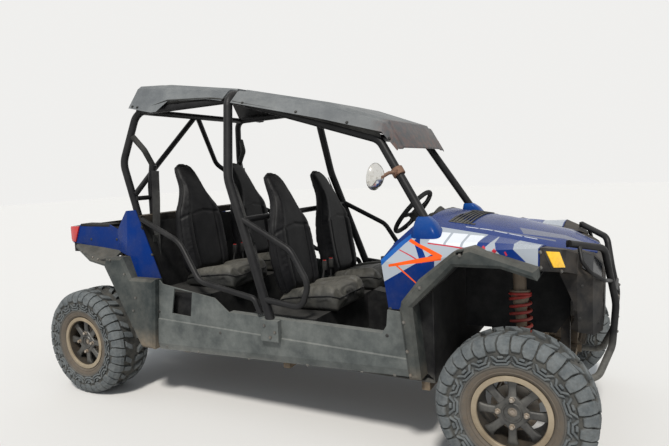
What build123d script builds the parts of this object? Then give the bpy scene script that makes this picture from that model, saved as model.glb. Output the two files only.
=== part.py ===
from build123d import *
import os
from math import cos, radians, sin

# A four-seat side-by-side off-road buggy, in millimetres.
# X points forward, Y to the driver's left and Z up. The origin is on the ground,
# midway between the bumper's face and the back of the rear tyres.

# Driving dimensions
wheelbase = 2616.0
overall_width = 1537.0
tyre_radius = 330.0
bumper_reach = 386.0
front_tyre_width = 229.0
rear_tyre_width = 279.0
rim_lip_radius = 165.0
rim_seat_radius = 152.0
rim_inset = 18.0
ground_clearance = 310.0
body_half_width = 655.0
flare_half_width = 685.0
cowl_height = 1085.0
roof_height = 1931.0
bed_floor_height = 890.0
running_gap = 0.3
shaft_clearance = 0.05

overall_length = bumper_reach + wheelbase + tyre_radius
front_axle_x = overall_length / 2 - bumper_reach
rear_axle_x = front_axle_x - wheelbase
hub_height = tyre_radius
front_wheel_y = overall_width / 2 - front_tyre_width / 2
rear_wheel_y = overall_width / 2 - rear_tyre_width / 2
king_pin_inset = 40.0
carrier_inset = 54.0
king_pin_y = front_wheel_y - king_pin_inset
carrier_y = rear_wheel_y - carrier_inset


# Helpers for the shapes that many pieces share
def block(x0, x1, y0, y1, z0, z1):
    """A box between two corners."""
    centre = Pos((x0 + x1) / 2, (y0 + y1) / 2, (z0 + z1) / 2)
    return centre * Box(abs(x1 - x0), abs(y1 - y0), abs(z1 - z0))


def tube(points, radius, bends=0):
    """A round bar along straight runs with arcs at the corners."""
    if len(points) == 2:
        path = Line(points[0], points[1])
    else:
        path = FilletPolyline(*points, radius=bends)
    section = Plane(origin=path @ 0, z_dir=path % 0) * Circle(radius)
    return sweep(section, path=path)


def rod(start, end, radius):
    """A straight round bar between two points."""
    axis = Vector(*end) - Vector(*start)
    return extrude(Plane(origin=start, z_dir=axis) * Circle(radius), amount=axis.length)


def side_plate(points, y0, y1):
    """An outline in X and Z, as thick as the stretch from y0 to y1."""
    low, high = min(y0, y1), max(y0, y1)
    outline = Plane.XZ * make_face(Polyline(*points, close=True))
    return Pos(0, high, 0) * extrude(outline, amount=high - low)


def cross_section(x, outline):
    """A flat face across the car at x, from points in Y and Z."""
    return make_face(Polyline(*[(x, y, z) for y, z in outline], close=True))


def side_section(y, outline):
    """A flat face along the car at y, from points in X and Z."""
    return make_face(Polyline(*[(x, y, z) for x, z in outline], close=True))


def part_way(start, end, share):
    """A point on the straight line between two points."""
    return tuple(a + share * (b - a) for a, b in zip(start, end))


def inset(outline, amount):
    """A closed outline with every side moved inwards by the same amount."""
    count = len(outline)
    area = sum(
        outline[i][0] * outline[(i + 1) % count][1] - outline[(i + 1) % count][0] * outline[i][1]
        for i in range(count)
    )
    inwards = 1.0 if area > 0 else -1.0
    moved = []
    for i in range(count):
        before, here, after = outline[i - 1], outline[i], outline[(i + 1) % count]
        first = Vector(here[0] - before[0], here[1] - before[1]).normalized()
        second = Vector(after[0] - here[0], after[1] - here[1]).normalized()
        aside = Vector(-first.Y - second.Y, first.X + second.X).normalized() * inwards
        reach = amount / (aside.dot(Vector(-first.Y, first.X)) * inwards)
        moved.append((here[0] + aside.X * reach, here[1] + aside.Y * reach))
    return moved


def mirrored(shape):
    """The same piece on the other side of the car."""
    return shape.mirror(Plane.XZ)


def both_sides(shape):
    """A right piece and its left twin, as two solids of one node."""
    return [shape, mirrored(shape)]


def solids_of(shape):
    """Every solid of a shape or of a list of shapes."""
    if isinstance(shape, (list, tuple)):
        return [solid for item in shape for solid in solids_of(item)]
    return list(shape.solids())


nodes = {}


def keep(name, *shapes):
    """Store a node's solids under its name."""
    nodes[name] = solids_of(list(shapes))


# Chassis: box rails under the floor, outriggers, posts and beams
rail_size = 40.0
rail_y = 230.0
skid_thickness = 4.0
rail_low = ground_clearance + skid_thickness
rail_high = rail_low + rail_size
rail_front_x = front_axle_x + 200.0
rail_rear_x = rear_axle_x - 144.0
cowl_post_x = front_axle_x - 412.0
cowl_post_y = 445.0
cowl_beam_z = cowl_height - 25.0
rear_post_x = rear_axle_x + 396.0
rear_post_y = body_half_width - 95.0
rear_beam_z = bed_floor_height + 235.0
tower_reach = 160.0
rear_tower_reach = 124.0
front_tower_z = cowl_height - 185.0
shock_beam_y = king_pin_y - 189.0
hoop_foot_x = 35.0
sill_y = body_half_width - 55.0
bed_beam_z = bed_floor_height - 10.0


def square_bar(x, y0, y1, z0, z1, size=rail_size):
    """A square bar whose middle is at x."""
    return block(x - size / 2, x + size / 2, y0, y1, z0, z1)


def boxes_meet(one, other):
    """Whether the boxes round two shapes share any space."""
    a, b = one.bounding_box(), other.bounding_box()
    spans = [
        (max(a.min.X, b.min.X), min(a.max.X, b.max.X)),
        (max(a.min.Y, b.min.Y), min(a.max.Y, b.max.Y)),
        (max(a.min.Z, b.min.Z), min(a.max.Z, b.max.Z)),
    ]
    return all(low < high for low, high in spans)


def welded(bars):
    """Bars that meet, each cut back to the ones before it, so that they touch face to face."""
    kept = []
    for bar in bars:
        for other in kept:
            if boxes_meet(bar, other):
                bar = bar - other
        kept = kept + solids_of(bar)
    return kept


def chassis_bars():
    """Every bar of the chassis, the long ones first."""
    half = rail_size / 2
    rail = block(rail_rear_x, rail_front_x, -rail_y - half, -rail_y + half, rail_low, rail_high)
    # Outriggers and cross members: place along the car, half width
    cross_bars = [
        (cowl_post_x, sill_y),
        (hoop_foot_x + 60.0, sill_y),
        (rear_post_x + 330.0, sill_y),
        (rear_post_x, rear_post_y + half),
        (front_axle_x - tower_reach, rail_y),
        (front_axle_x, rail_y),
        (front_axle_x + tower_reach, rail_y),
        (rear_axle_x + rear_tower_reach, rail_y),
        (rear_axle_x, rail_y),
        (rail_rear_x + half, rail_y),
    ]
    bars = [square_bar(x, -reach, reach, rail_low, rail_high) for x, reach in cross_bars]
    # Posts: place along the car, across it, height of the top
    posts = [
        (cowl_post_x, cowl_post_y, cowl_beam_z - rail_size),
        (rear_post_x, rear_post_y, rear_beam_z),
        (front_axle_x - tower_reach, rail_y, front_tower_z),
        (front_axle_x + tower_reach, rail_y, front_tower_z),
        (rear_axle_x + rear_tower_reach, rail_y, bed_beam_z),
        (rail_rear_x + half, rail_y, bed_beam_z),
    ]
    foot = square_bar(cowl_post_x, -cowl_post_y, cowl_post_y, rail_low, rail_high)
    uprights = [square_bar(x, y - half, y + half, rail_low, top) for x, y, top in posts]
    rail_tops = [
        (front_axle_x - tower_reach, front_axle_x + tower_reach, front_tower_z),
        (rail_rear_x, rear_axle_x + rear_tower_reach, bed_beam_z),
    ]
    stringers = [
        block(x0, x1, rail_y - half, rail_y + half, top - rail_size, top) for x0, x1, top in rail_tops
    ]
    paired = [rail] + uprights + stringers
    cowl_beam = square_bar(
        cowl_post_x, -cowl_post_y - 50.0, cowl_post_y + 50.0, cowl_beam_z - rail_size, cowl_beam_z
    )
    rear_beam = block(
        rear_post_x - 60.0, rear_post_x + half, -rear_post_y - 30.0, rear_post_y + 30.0,
        rear_beam_z - rail_size, rear_beam_z,
    )
    front_shock_beam = square_bar(
        front_axle_x - 20.0, -shock_beam_y, shock_beam_y, front_tower_z - rail_size, front_tower_z
    )
    rear_shock_beam = square_bar(
        rear_axle_x + 20.0, -shock_beam_y, shock_beam_y, bed_beam_z - rail_size, bed_beam_z
    )
    twins = [mirrored(piece) for piece in paired]
    return [rail, twins[0], foot] + bars + uprights + stringers + twins[1:] + [
        cowl_beam, rear_beam, front_shock_beam, rear_shock_beam
    ]


def tow_receiver():
    """A square socket for a tow bar, with its cross pin hole."""
    receiver = block(
        rail_rear_x - receiver_length, rail_rear_x, -receiver_outer / 2, receiver_outer / 2,
        rail_low - receiver_outer + rail_size, rail_high,
    )
    socket = block(
        rail_rear_x - receiver_length, rail_rear_x - receiver_wall, -receiver_inner / 2,
        receiver_inner / 2, receiver_z - receiver_inner / 2, receiver_z + receiver_inner / 2,
    )
    pin_hole = rod(
        (receiver_pin_x, -receiver_outer, receiver_z), (receiver_pin_x, receiver_outer, receiver_z),
        receiver_pin_radius,
    )
    return receiver - socket - pin_hole


receiver_outer = 63.5
receiver_inner = 51.0
receiver_wall = 12.0
receiver_length = 150.0
receiver_pin_radius = 8.0
receiver_z = rail_high - receiver_outer / 2
receiver_pin_x = rail_rear_x - receiver_length + 45.0

frame_bars = chassis_bars()
chassis_frame = frame_bars[0] + frame_bars[1:]
keep("chassis_frame", welded(frame_bars))
keep("tow_receiver", tow_receiver())

skid_front_x = front_axle_x + 170.0
skid_half_width = 260.0
keep(
    "skid_plate",
    block(rear_axle_x + 120.0, skid_front_x, -skid_half_width, skid_half_width, ground_clearance, rail_low),
)

# Cabin tub: floor, risers under the seats, toe board and rear wall, as one folded sheet
sheet = 6.0
firewall_x = front_axle_x - 372.0
tub_half_width = sill_y
riser_depth = 440.0
front_riser_x = 310.0
rear_riser_x = rear_post_x + 560.0
front_seat_z = ground_clearance + 290.0
seat_step = 80.0
rear_seat_z = front_seat_z + seat_step
rear_wall_x = rear_post_x + 34.0
tub_top_z = cowl_beam_z - rail_size - 60.0


def cabin_tub():
    # The upper side of the sheet, from the toe board back: x, z
    upper = [
        (firewall_x, tub_top_z),
        (firewall_x, rail_high + sheet),
        (front_riser_x, rail_high + sheet),
        (front_riser_x - 20.0, front_seat_z),
        (front_riser_x - riser_depth, front_seat_z - 10.0),
        (front_riser_x - riser_depth - 20.0, rail_high + sheet),
        (rear_riser_x, rail_high + sheet),
        (rear_riser_x - 20.0, rear_seat_z),
        (rear_wall_x + 60.0, rear_seat_z - 10.0),
        (rear_wall_x, rear_beam_z - 45.0),
    ]
    # The lower side of the same sheet, from the rear wall forward: x, z
    lower = [
        (rear_wall_x - sheet, rear_beam_z - 45.0),
        (rear_wall_x + 60.0 - sheet, rear_seat_z - 10.0 - sheet),
        (rear_riser_x - 20.0 - sheet, rear_seat_z - sheet),
        (rear_riser_x - sheet, rail_high),
        (front_riser_x - riser_depth - 20.0 + sheet, rail_high),
        (front_riser_x - riser_depth + sheet, front_seat_z - 10.0 - sheet),
        (front_riser_x - 20.0 - sheet, front_seat_z - sheet),
        (front_riser_x - sheet, rail_high),
        (firewall_x + sheet, rail_high),
        (firewall_x + sheet, tub_top_z),
    ]
    floor = side_plate(upper + lower, -tub_half_width, tub_half_width)
    # Cheeks that close the sides of the two risers: outline in x, z
    front_cheek = [
        (front_riser_x, rail_high),
        (front_riser_x - 20.0, front_seat_z),
        (front_riser_x - riser_depth, front_seat_z - 10.0),
        (front_riser_x - riser_depth - 20.0, rail_high),
    ]
    rear_cheek = [
        (rear_riser_x, rail_high),
        (rear_riser_x - 20.0, rear_seat_z),
        (rear_wall_x + 60.0 - sheet, rear_seat_z - 10.0),
        (rear_wall_x + 60.0 - sheet, rail_high),
    ]
    cheeks = []
    for outline in (front_cheek, rear_cheek):
        right = side_plate(outline, -tub_half_width, -tub_half_width + sheet)
        cheeks += both_sides(right)
    return floor + cheeks


tub = cabin_tub() - chassis_frame
keep("floor_tub", tub)

# Sills: moulded panels below the door openings
sill_rear_x = rear_axle_x + 551.0
sill_front_x = front_axle_x - 466.0
sill_wall = 8.0
sill_top_z = ground_clearance + 275.0


def sill_section(x, low, groove, high):
    """A sill's wall cut across the car: the foot, the ridge line and the upper face."""
    outer = body_half_width
    wall = sill_wall
    outline = [
        (-sill_y, low + 12.0),
        (-outer + 15.0, low),
        (-outer, low + 40.0),
        (-outer, groove),
        (-outer + 7.0, groove + 6.0),
        (-outer + 9.0, high),
        (-outer + 9.0 + wall, high),
        (-outer + 7.0 + wall, groove + 4.0),
        (-outer + wall, groove - 2.0),
        (-outer + wall, low + 44.0),
        (-outer + 15.0 + wall / 2, low + wall),
        (-sill_y, low + 12.0 + wall),
    ]
    return cross_section(x, outline)


def sill():
    wall = loft(
        [
            sill_section(sill_rear_x, ground_clearance + 17.0, sill_top_z - 69.0, sill_top_z + 195.0),
            sill_section(sill_front_x, ground_clearance + 74.0, sill_top_z - 116.0, sill_top_z + 135.0),
        ],
        ruled=True,
    )
    # The panel's edge seen from the side: x, z
    edge = [
        (sill_rear_x, ground_clearance - 10.0),
        (sill_front_x, ground_clearance + 50.0),
        (front_axle_x - 505.0, sill_top_z + 105.0),
        (front_axle_x - 575.0, sill_top_z + 111.0),
        (front_axle_x - 582.0, sill_top_z + 35.0),
        (front_axle_x - 606.0, sill_top_z - 5.0),
        (-240.0, sill_top_z + 15.0),
        (-335.0, sill_top_z + 87.0),
        (rear_axle_x + 614.0, sill_top_z + 142.0),
        (rear_axle_x + 590.0, sill_top_z + 165.0),
    ]
    trimmed = wall & side_plate(edge, -body_half_width - 1.0, -sill_y + 1.0)
    # The opening beside the rear riser: x, z
    opening = [
        (rear_axle_x + 676.0, sill_top_z - 28.0),
        (rear_axle_x + 706.0, sill_top_z + 122.0),
        (rear_axle_x + 840.0, sill_top_z + 108.0),
        (rear_axle_x + 820.0, sill_top_z - 36.0),
    ]
    trimmed = trimmed - side_plate(opening, -body_half_width - 1.0, -sill_y + 1.0)
    # The ledge on top, from the front opening to the hoop's foot: x, z
    ledge = [
        (front_axle_x - 606.0, sill_top_z - 5.0),
        (-240.0, sill_top_z + 15.0),
        (-240.0, sill_top_z + 9.0),
        (front_axle_x - 606.0, sill_top_z - 11.0),
    ]
    # The cup that holds the foot of the hoop
    cup = block(
        hoop_foot_x - 40.0, hoop_foot_x + 70.0, -body_half_width - 25.0, -sill_y,
        sill_top_z - 107.0, sill_top_z + 5.0,
    )
    return trimmed + side_plate(ledge, -body_half_width + 14.0, -sill_y) + cup

# Cage: two side frames, the hoop behind the front seats and the bars between them
hoop_tube_radius = 25.0
rail_tube_radius = 22.0
brace_tube_radius = 17.0
hoop_bend = 90.0
hoop_top_x = -280.0
hoop_top_y = 490.0
hoop_top_z = roof_height - 131.0
hoop_foot_y = body_half_width - 4.0
hoop_foot_z = sill_top_z - 80.0
hoop_kink_x = -230.0
hoop_kink_y = body_half_width - 60.0
hoop_kink_z = hoop_foot_z + 0.64 * (hoop_top_z - hoop_foot_z)
header_x = front_axle_x - 707.0
header_y = 368.0
header_z = roof_height - 429.0
rear_pillar_x = rear_axle_x + 361.0
rear_corner_z = roof_height - 173.0
rear_link_z = rear_beam_z + 105.0
upright_x = rear_axle_x + 366.0
upright_y = 440.0
upright_bend_z = rear_beam_z + 175.0
upright_top_z = rear_beam_z + 306.0
pillar_kink_z = rear_beam_z + 0.51 * (rear_corner_z - rear_beam_z)

hoop_path = [
    (hoop_foot_x + 32.0, -hoop_foot_y, hoop_foot_z),
    (hoop_kink_x, -hoop_kink_y, hoop_kink_z),
    (hoop_top_x, -hoop_top_y, hoop_top_z),
    (hoop_top_x, hoop_top_y, hoop_top_z),
    (hoop_kink_x, hoop_kink_y, hoop_kink_z),
    (hoop_foot_x + 32.0, hoop_foot_y, hoop_foot_z),
]
hoop_bends = [240.0, hoop_bend, hoop_bend, 240.0]
hoop_bar_end = part_way(hoop_path[0], hoop_path[1], 0.724)
hoop = tube(hoop_path, hoop_tube_radius, hoop_bends)
hoop += rod(hoop_bar_end, (hoop_bar_end[0], -hoop_bar_end[1], hoop_bar_end[2]), brace_tube_radius)

# Where a roof rail meets the hoop: the middle of the hoop's top bend
bend_set_back = hoop_bend * (1 - cos(radians(45.0)))
rail_meet_y = hoop_top_y - bend_set_back
rail_meet_z = hoop_top_z - bend_set_back
side_path = [
    (cowl_post_x, -cowl_post_y, cowl_beam_z - 20.0),
    (header_x, -header_y, header_z),
    (hoop_top_x, -rail_meet_y, rail_meet_z),
    (rear_pillar_x - 10.0, -500.0, rear_corner_z),
    (rear_pillar_x - 75.0, -rear_post_y - 15.0, pillar_kink_z),
    (rear_post_x - 30.0, -rear_post_y, rear_beam_z),
]
side_bends = [90.0, 400.0, 80.0, 160.0]
side_frame = tube(side_path, rail_tube_radius, side_bends) - hoop - chassis_frame
keep("cage_sides", both_sides(side_frame))

header = rod((header_x - 45.0, -400.0, header_z + 14.0), (header_x - 45.0, 400.0, header_z + 14.0), 19.0)
rear_bar = rod((rear_pillar_x + 25.0, -520.0, rear_corner_z), (rear_pillar_x + 25.0, 520.0, rear_corner_z), 19.0)
keep("cage_hoop", hoop)
sill_right = sill() - hoop
keep("sills", both_sides(sill_right))
side_frames = [side_frame, mirrored(side_frame)]


def between(shape, others):
    """A bar cut off where it meets its neighbours, with the middle piece kept."""
    for other in others:
        shape = shape - other
    return max(solids_of(shape), key=lambda solid: solid.volume)


header_bar = between(header, side_frames)
rear_bar = between(rear_bar, side_frames)
link = rod(
    (rear_post_x - 30.0, -rear_post_y - 10.0, rear_link_z), (rear_post_x - 30.0, -upright_y, rear_link_z), 14.0
)
upright = tube(
    [
        (rear_post_x - 30.0, -upright_y, rear_beam_z),
        (rear_post_x - 30.0, -upright_y, upright_bend_z),
        (upright_x + 25.0, -upright_y, upright_top_z),
    ],
    rail_tube_radius, 200.0,
)
upright = between(upright + link, side_frames)
brace = tube(
    [
        (rear_pillar_x + 20.0, -12.0, rear_corner_z),
        (rear_pillar_x - 78.0, -297.0, upright_top_z + 2.0),
        (rear_pillar_x - 5.0, -rear_post_y - 8.0, rear_link_z + 20.0),
    ],
    brace_tube_radius, 150.0,
)
brace = between(brace, side_frames + [rear_bar, mirrored(rear_bar)])
braces = brace + mirrored(brace)
keep("cage_bars", header_bar, rear_bar, braces, both_sides(upright))

# Hip bars: low tubes beside each seat
hip_radius = 16.0
hip_y = body_half_width - 10.0
front_hip_path = [
    part_way(hoop_path[0], hoop_path[1], 0.74),
    (170.0, -hip_y + 15.0, sill_top_z + 373.0),
    (280.0, -hip_y, sill_top_z + 201.0),
    (235.0, -hip_y, sill_top_z + 79.0),
    (5.0, -hip_y, sill_top_z + 105.0),
]
rear_hip_path = [
    (rear_post_x + 24.0, -rear_post_y - 25.0, rear_beam_z - 25.0),
    (rear_axle_x + 736.0, -hip_y + 35.0, sill_top_z + 391.0),
    (rear_axle_x + 900.0, -hip_y, sill_top_z + 175.0),
    (-60.0, -hip_y, sill_top_z + 105.0),
    (-24.0, -hip_y, sill_top_z + 27.0),
]
front_hip = between(tube(front_hip_path, hip_radius, [120.0, 90.0, 60.0]), [hoop])
rear_hip = tube(rear_hip_path, hip_radius, [200.0, 110.0, 40.0])
rear_hip = between(rear_hip, [hoop, sill_right, chassis_frame, tub])
keep("hip_bars", both_sides(front_hip), both_sides(rear_hip))


# Roof: two moulded panels, one each side of the hoop, with skirts at the sides
roof_wall = 8.0


def roof_section(x, skirt_y, skirt_z, edge_y, edge_z, crown):
    """The roof's skin cut across the car at x: skirt, shoulder, edge, step and crown."""
    drop = roof_shoulder * (edge_z - skirt_z)
    outer = [
        (skirt_y, skirt_z),
        (edge_y + 0.6 * drop, edge_z - drop),
        (edge_y - 16.0, edge_z),
        (edge_y - roof_step_inset, edge_z + 1.0),
        (edge_y - roof_step_inset - 14.0, edge_z + crown - 1.0),
        (0.0, edge_z + crown),
    ]
    shifts = [(1.0, 0.0), (0.8, 0.5), (0.3, 1.0), (0.3, 1.0), (0.3, 1.0), (0.0, 1.0)]
    inner = [(y - a * roof_wall, z - b * roof_wall) for (y, z), (a, b) in zip(outer, shifts)]
    right = [(-y, z) for y, z in outer]
    right_inner = [(-y, z) for y, z in inner]
    return cross_section(x, right + outer[-2::-1] + inner[:-1] + right_inner[::-1])


roof_shoulder = 0.14
roof_step_inset = 72.0
# Place along the car, skirt's half width and height, upper edge's half width and height, crown
rear_roof_table = [
    (rear_axle_x + 336.0, 550.0, roof_height - 152.0, 452.0, roof_height - 9.0, 9.0),
    (rear_axle_x + 521.0, 552.0, roof_height - 193.0, 452.0, roof_height - 20.0, 11.0),
    (hoop_top_x - 30.0, 520.0, roof_height - 169.0, 440.0, roof_height - 96.0, 13.0),
]
front_roof_table = [
    (hoop_top_x + 32.0, 518.0, roof_height - 183.0, 440.0, roof_height - 108.0, 13.0),
    (front_axle_x - 1006.0, 465.0, roof_height - 305.0, 425.0, roof_height - 226.0, 15.0),
    (front_axle_x - 675.0, 412.0, roof_height - 395.0, 392.0, roof_height - 346.0, 15.0),
    (front_axle_x - 600.0, 400.0, roof_height - 491.0, 388.0, roof_height - 476.0, 8.0),
]
# The arch cut in the rear skirt between its corner tab and the hoop: x, z
roof_arch = [
    (rear_axle_x + 521.0, roof_height - 231.0),
    (rear_axle_x + 620.0, roof_height - 131.0),
    (hoop_top_x - 156.0, roof_height - 144.0),
    (hoop_top_x - 29.0, roof_height - 167.0),
    (hoop_top_x - 29.0, roof_height - 231.0),
]
roof_rear = loft([roof_section(*row) for row in rear_roof_table], ruled=True)
roof_rear = roof_rear - side_plate(roof_arch, -flare_half_width, flare_half_width)
roof_front = loft([roof_section(*row) for row in front_roof_table], ruled=True)
for piece in side_frames:
    roof_front = roof_front - piece
    roof_rear = roof_rear - piece
keep("roof_rear", roof_rear)
keep("roof_front", roof_front)

# Hood: a crowned skin from the cowl to the nose
hood_wall = 6.0


def hood_section(x, half_width, edge_z, crown_z):
    outer = ThreePointArc((x, -half_width, edge_z), (x, 0, crown_z), (x, half_width, edge_z))
    inner = ThreePointArc(
        (x, -half_width, edge_z - hood_wall), (x, 0, crown_z - hood_wall), (x, half_width, edge_z - hood_wall)
    )
    sides = [Line((x, y, edge_z), (x, y, edge_z - hood_wall)) for y in (-half_width, half_width)]
    return make_face([outer, inner] + sides)


# Place along the car, half width, height at the edge, height at the crown
hood_table = [
    (front_axle_x - 480.0, 400.0, cowl_height - 10.0, cowl_height + 27.0),
    (front_axle_x - 175.0, 394.0, cowl_height - 55.0, cowl_height - 17.0),
    (front_axle_x + 150.0, 362.0, cowl_height - 119.0, cowl_height - 87.0),
    (front_axle_x + 290.0, 150.0, cowl_height - 160.0, cowl_height - 146.0),
]
hood = loft([hood_section(*row) for row in hood_table], ruled=True) - chassis_frame
for piece in side_frames:
    hood = hood - piece
hood = max(solids_of(hood), key=lambda solid: solid.volume)
keep("hood", hood)

# Front side panels: a skin from the hood's edge over the shoulder and down to the sill
panel_wall = 6.0
# Place along the car, then the outer line of the skin: y, z from the hood's edge down
front_panel_table = [
    (front_axle_x - 640.0, [
        (404.0, cowl_height + 10.0), (body_half_width - 95.0, cowl_height - 80.0),
        (body_half_width - 43.0, cowl_height - 160.0), (body_half_width - 23.0, sill_top_z + 95.0),
    ]),
    (front_axle_x - 480.0, [
        (400.0, cowl_height - 10.0), (body_half_width - 95.0, cowl_height - 85.0),
        (body_half_width - 37.0, cowl_height - 180.0), (body_half_width - 21.0, sill_top_z + 95.0),
    ]),
    (front_axle_x - 175.0, [
        (394.0, cowl_height - 55.0), (body_half_width - 95.0, cowl_height - 71.0),
        (body_half_width - 23.0, cowl_height - 100.0), (body_half_width - 19.0, cowl_height - 185.0),
    ]),
    (front_axle_x + 92.0, [
        (369.0, cowl_height - 104.0), (body_half_width - 175.0, cowl_height - 87.0),
        (body_half_width - 65.0, cowl_height - 85.0), (body_half_width - 51.0, cowl_height - 180.0),
    ]),
]


def skin_section(x, outer, wall):
    """A bent skin cut across the car on its right side."""
    right = [(-y, z) for y, z in outer]
    drops = [(0.0, wall), (0.5 * wall, wall), (wall, 0.5 * wall), (wall, 0.0)]
    inner = [(-(y - dy), z - dz) for (y, z), (dy, dz) in zip(outer, drops)]
    return cross_section(x, right + inner[::-1])


# The arch seen from the side: the flare's outer edge and its inner edge, x, z
flare_outer = [
    (front_axle_x - 466.0, ground_clearance + 74.0),
    (front_axle_x - 503.0, sill_top_z + 115.0),
    (front_axle_x - 495.0, sill_top_z + 162.0),
    (front_axle_x - 410.0, cowl_height - 231.0),
    (front_axle_x - 250.0, cowl_height - 99.0),
    (front_axle_x - 175.0, cowl_height - 79.0),
    (front_axle_x + 92.0, cowl_height - 160.0),
]
flare_inner = [
    (front_axle_x + 92.0, cowl_height - 207.0),
    (front_axle_x - 53.0, cowl_height - 164.0),
    (front_axle_x - 250.0, cowl_height - 165.0),
    (front_axle_x - 442.0, sill_top_z + 138.0),
    (front_axle_x - 408.0, ground_clearance + 78.0),
]
panel_trim = [
    (front_axle_x - 472.0, cowl_height + 45.0),
    (front_axle_x - 615.0, cowl_height - 161.0),
    (front_axle_x - 574.0, sill_top_z + 112.0),
] + flare_outer[1:] + [(front_axle_x + 92.0, cowl_height + 45.0)]
front_panel = loft([skin_section(x, line, panel_wall) for x, line in front_panel_table], ruled=True)
front_panel = front_panel & side_plate(panel_trim, -700.0, -380.0)
for piece in side_frames[:1]:
    front_panel = front_panel - piece
front_panel = max(solids_of(front_panel - chassis_frame - tub), key=lambda solid: solid.volume)
keep("front_side_panels", both_sides(front_panel))

# Front flares: hollow mouldings round the arch, open towards the car
flare_wall = 7.0
flare_bevel = 15.0
flare_inner_y = body_half_width - 80.0


def prism(outline, y0, y1):
    """An outline in X and Z on the right side, from y0 out to y1."""
    return side_plate(outline, -y1, -y0)


def hollow_flare(outline, y_out, y_in, wall):
    """A flare with a bevelled outer face and walls round its edge."""
    body = prism(outline, y_in, y_out - flare_bevel)
    bevelled = [side_section(flare_bevel - y_out, outline), side_section(-y_out, inset(outline, flare_bevel))]
    return body + loft(bevelled, ruled=True) - prism(inset(outline, wall), y_in - 1.0, y_out - flare_bevel)


flare_notch = [
    (front_axle_x - 245.0, cowl_height - 60.0),
    (front_axle_x - 236.0, cowl_height - 112.0),
    (front_axle_x - 207.0, cowl_height - 112.0),
    (front_axle_x - 194.0, cowl_height - 60.0),
]
front_flare = hollow_flare(flare_outer + flare_inner, flare_half_width, flare_inner_y, flare_wall)
front_flare = front_flare - prism(flare_notch, flare_half_width - flare_bevel, flare_half_width + 1.0)
front_flare = front_flare - front_panel - sill_right - tub
keep("front_flares", both_sides(front_flare))

# Arch liners: a sheet over each front wheel, and a plate that closes the arch behind it
liner_wall = 5.0
liner_inner_y = body_half_width - 215.0
liner_start_z = cowl_height - 284.0
liner_line = [
    (firewall_x + sheet, liner_start_z),
    flare_inner[2],
    flare_inner[1],
    flare_inner[0],
]
liner_outline = liner_line + [(x, z + liner_wall) for x, z in liner_line[::-1]]
liner_plate = [
    flare_inner[4],
    flare_inner[3],
    (firewall_x, liner_start_z - 6.0),
    (firewall_x, rail_high + sheet),
]
# The inner wall of each front arch, on the outer faces of the tower's posts
inner_wall_low = 545.0
inner_wall = [
    (firewall_x + sheet + 60.0, inner_wall_low),
    (firewall_x + sheet + 60.0, front_tower_z - rail_size),
    (front_axle_x + tower_reach + rail_size / 2, front_tower_z - rail_size),
    (front_axle_x + tower_reach + rail_size / 2, inner_wall_low + 95.0),
    (front_axle_x + tower_reach - 40.0, inner_wall_low),
]
inner_wall_y = rail_y + rail_size / 2
keep(
    "arch_liners",
    both_sides(prism(liner_outline, liner_inner_y, flare_inner_y)),
    both_sides(prism(liner_plate, flare_inner_y, flare_inner_y + liner_wall) - front_flare),
    both_sides(prism(inner_wall, inner_wall_y, inner_wall_y + liner_wall) - chassis_frame),
)

# Rear side panels: a sail beside the rear seat and a tail beside the bed
bed_half_width = body_half_width - 100.0
tail_y = bed_half_width + 6.0
# Place along the car, then the outer line of the skin: y, z from the top down
rear_panel_rows = [
    (rear_axle_x + 610.0, (-63.0, -51.0, -37.0, -23.0)),
    (rear_axle_x + 300.0, (-67.0, -53.0, -37.0, -23.0)),
    (rear_axle_x + 170.0, (-94.0, -94.0, -94.0, -94.0)),
    (rear_axle_x - 290.0, (-94.0, -94.0, -94.0, -94.0)),
]
rear_panel_levels = (
    bed_floor_height + 290.0, bed_floor_height + 110.0, bed_floor_height - 20.0, bed_floor_height - 150.0
)


def wall_section(x, outer, wall):
    """A near upright skin cut across the car on its right side."""
    right = [(-y, z) for y, z in outer]
    inner = [(-(y - wall), z) for y, z in outer]
    return cross_section(x, right + inner[::-1])


rear_panel_edge = [
    (rear_axle_x + 288.0, bed_floor_height + 265.0),
    (rear_axle_x + 372.0, bed_floor_height + 270.0),
    (rear_axle_x + 588.0, bed_floor_height - 133.0),
    (rear_axle_x + 394.0, bed_floor_height - 134.0),
    (rear_axle_x + 328.0, bed_floor_height - 10.0),
    (rear_axle_x - 160.0, bed_floor_height + 40.0),
    (rear_axle_x - 270.0, bed_floor_height + 50.0),
    (rear_axle_x - 180.0, bed_floor_height + 173.0),
    (rear_axle_x + 100.0, bed_floor_height + 174.0),
    (rear_axle_x + 176.0, bed_floor_height + 144.0),
]
rear_panel_sections = []
for x, offsets in rear_panel_rows:
    line = [(body_half_width + shift, z) for shift, z in zip(offsets, rear_panel_levels)]
    rear_panel_sections.append(wall_section(x, line, panel_wall))
rear_panel = loft(rear_panel_sections, ruled=True)
rear_panel = rear_panel & side_plate(rear_panel_edge, -700.0, -500.0)
rear_panel = rear_panel - side_frames[0] - chassis_frame - tub - rear_hip
rear_panel = max(solids_of(rear_panel), key=lambda solid: solid.volume)
keep("rear_side_panels", both_sides(rear_panel))

# Rear flares: hollow mouldings ahead of the rear wheels, and a wing above each wheel
rear_flare_edge = [
    (rear_axle_x + 164.0, bed_floor_height - 73.0),
    (rear_axle_x + 186.0, bed_floor_height - 18.0),
    (rear_axle_x + 330.0, bed_floor_height - 10.0),
    (rear_axle_x + 394.0, bed_floor_height - 134.0),
    (rear_axle_x + 588.0, bed_floor_height - 133.0),
    (rear_axle_x + 549.0, ground_clearance + 23.0),
    (rear_axle_x + 441.0, ground_clearance + 28.0),
]
rear_flare_half_width = flare_half_width + 5.0
rear_flare_inner_y = body_half_width - 37.0
rear_flare = hollow_flare(rear_flare_edge, rear_flare_half_width, rear_flare_inner_y, flare_wall)
rear_flare = rear_flare - rear_panel - sill_right - tub
wing_wall = 12.0
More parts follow.
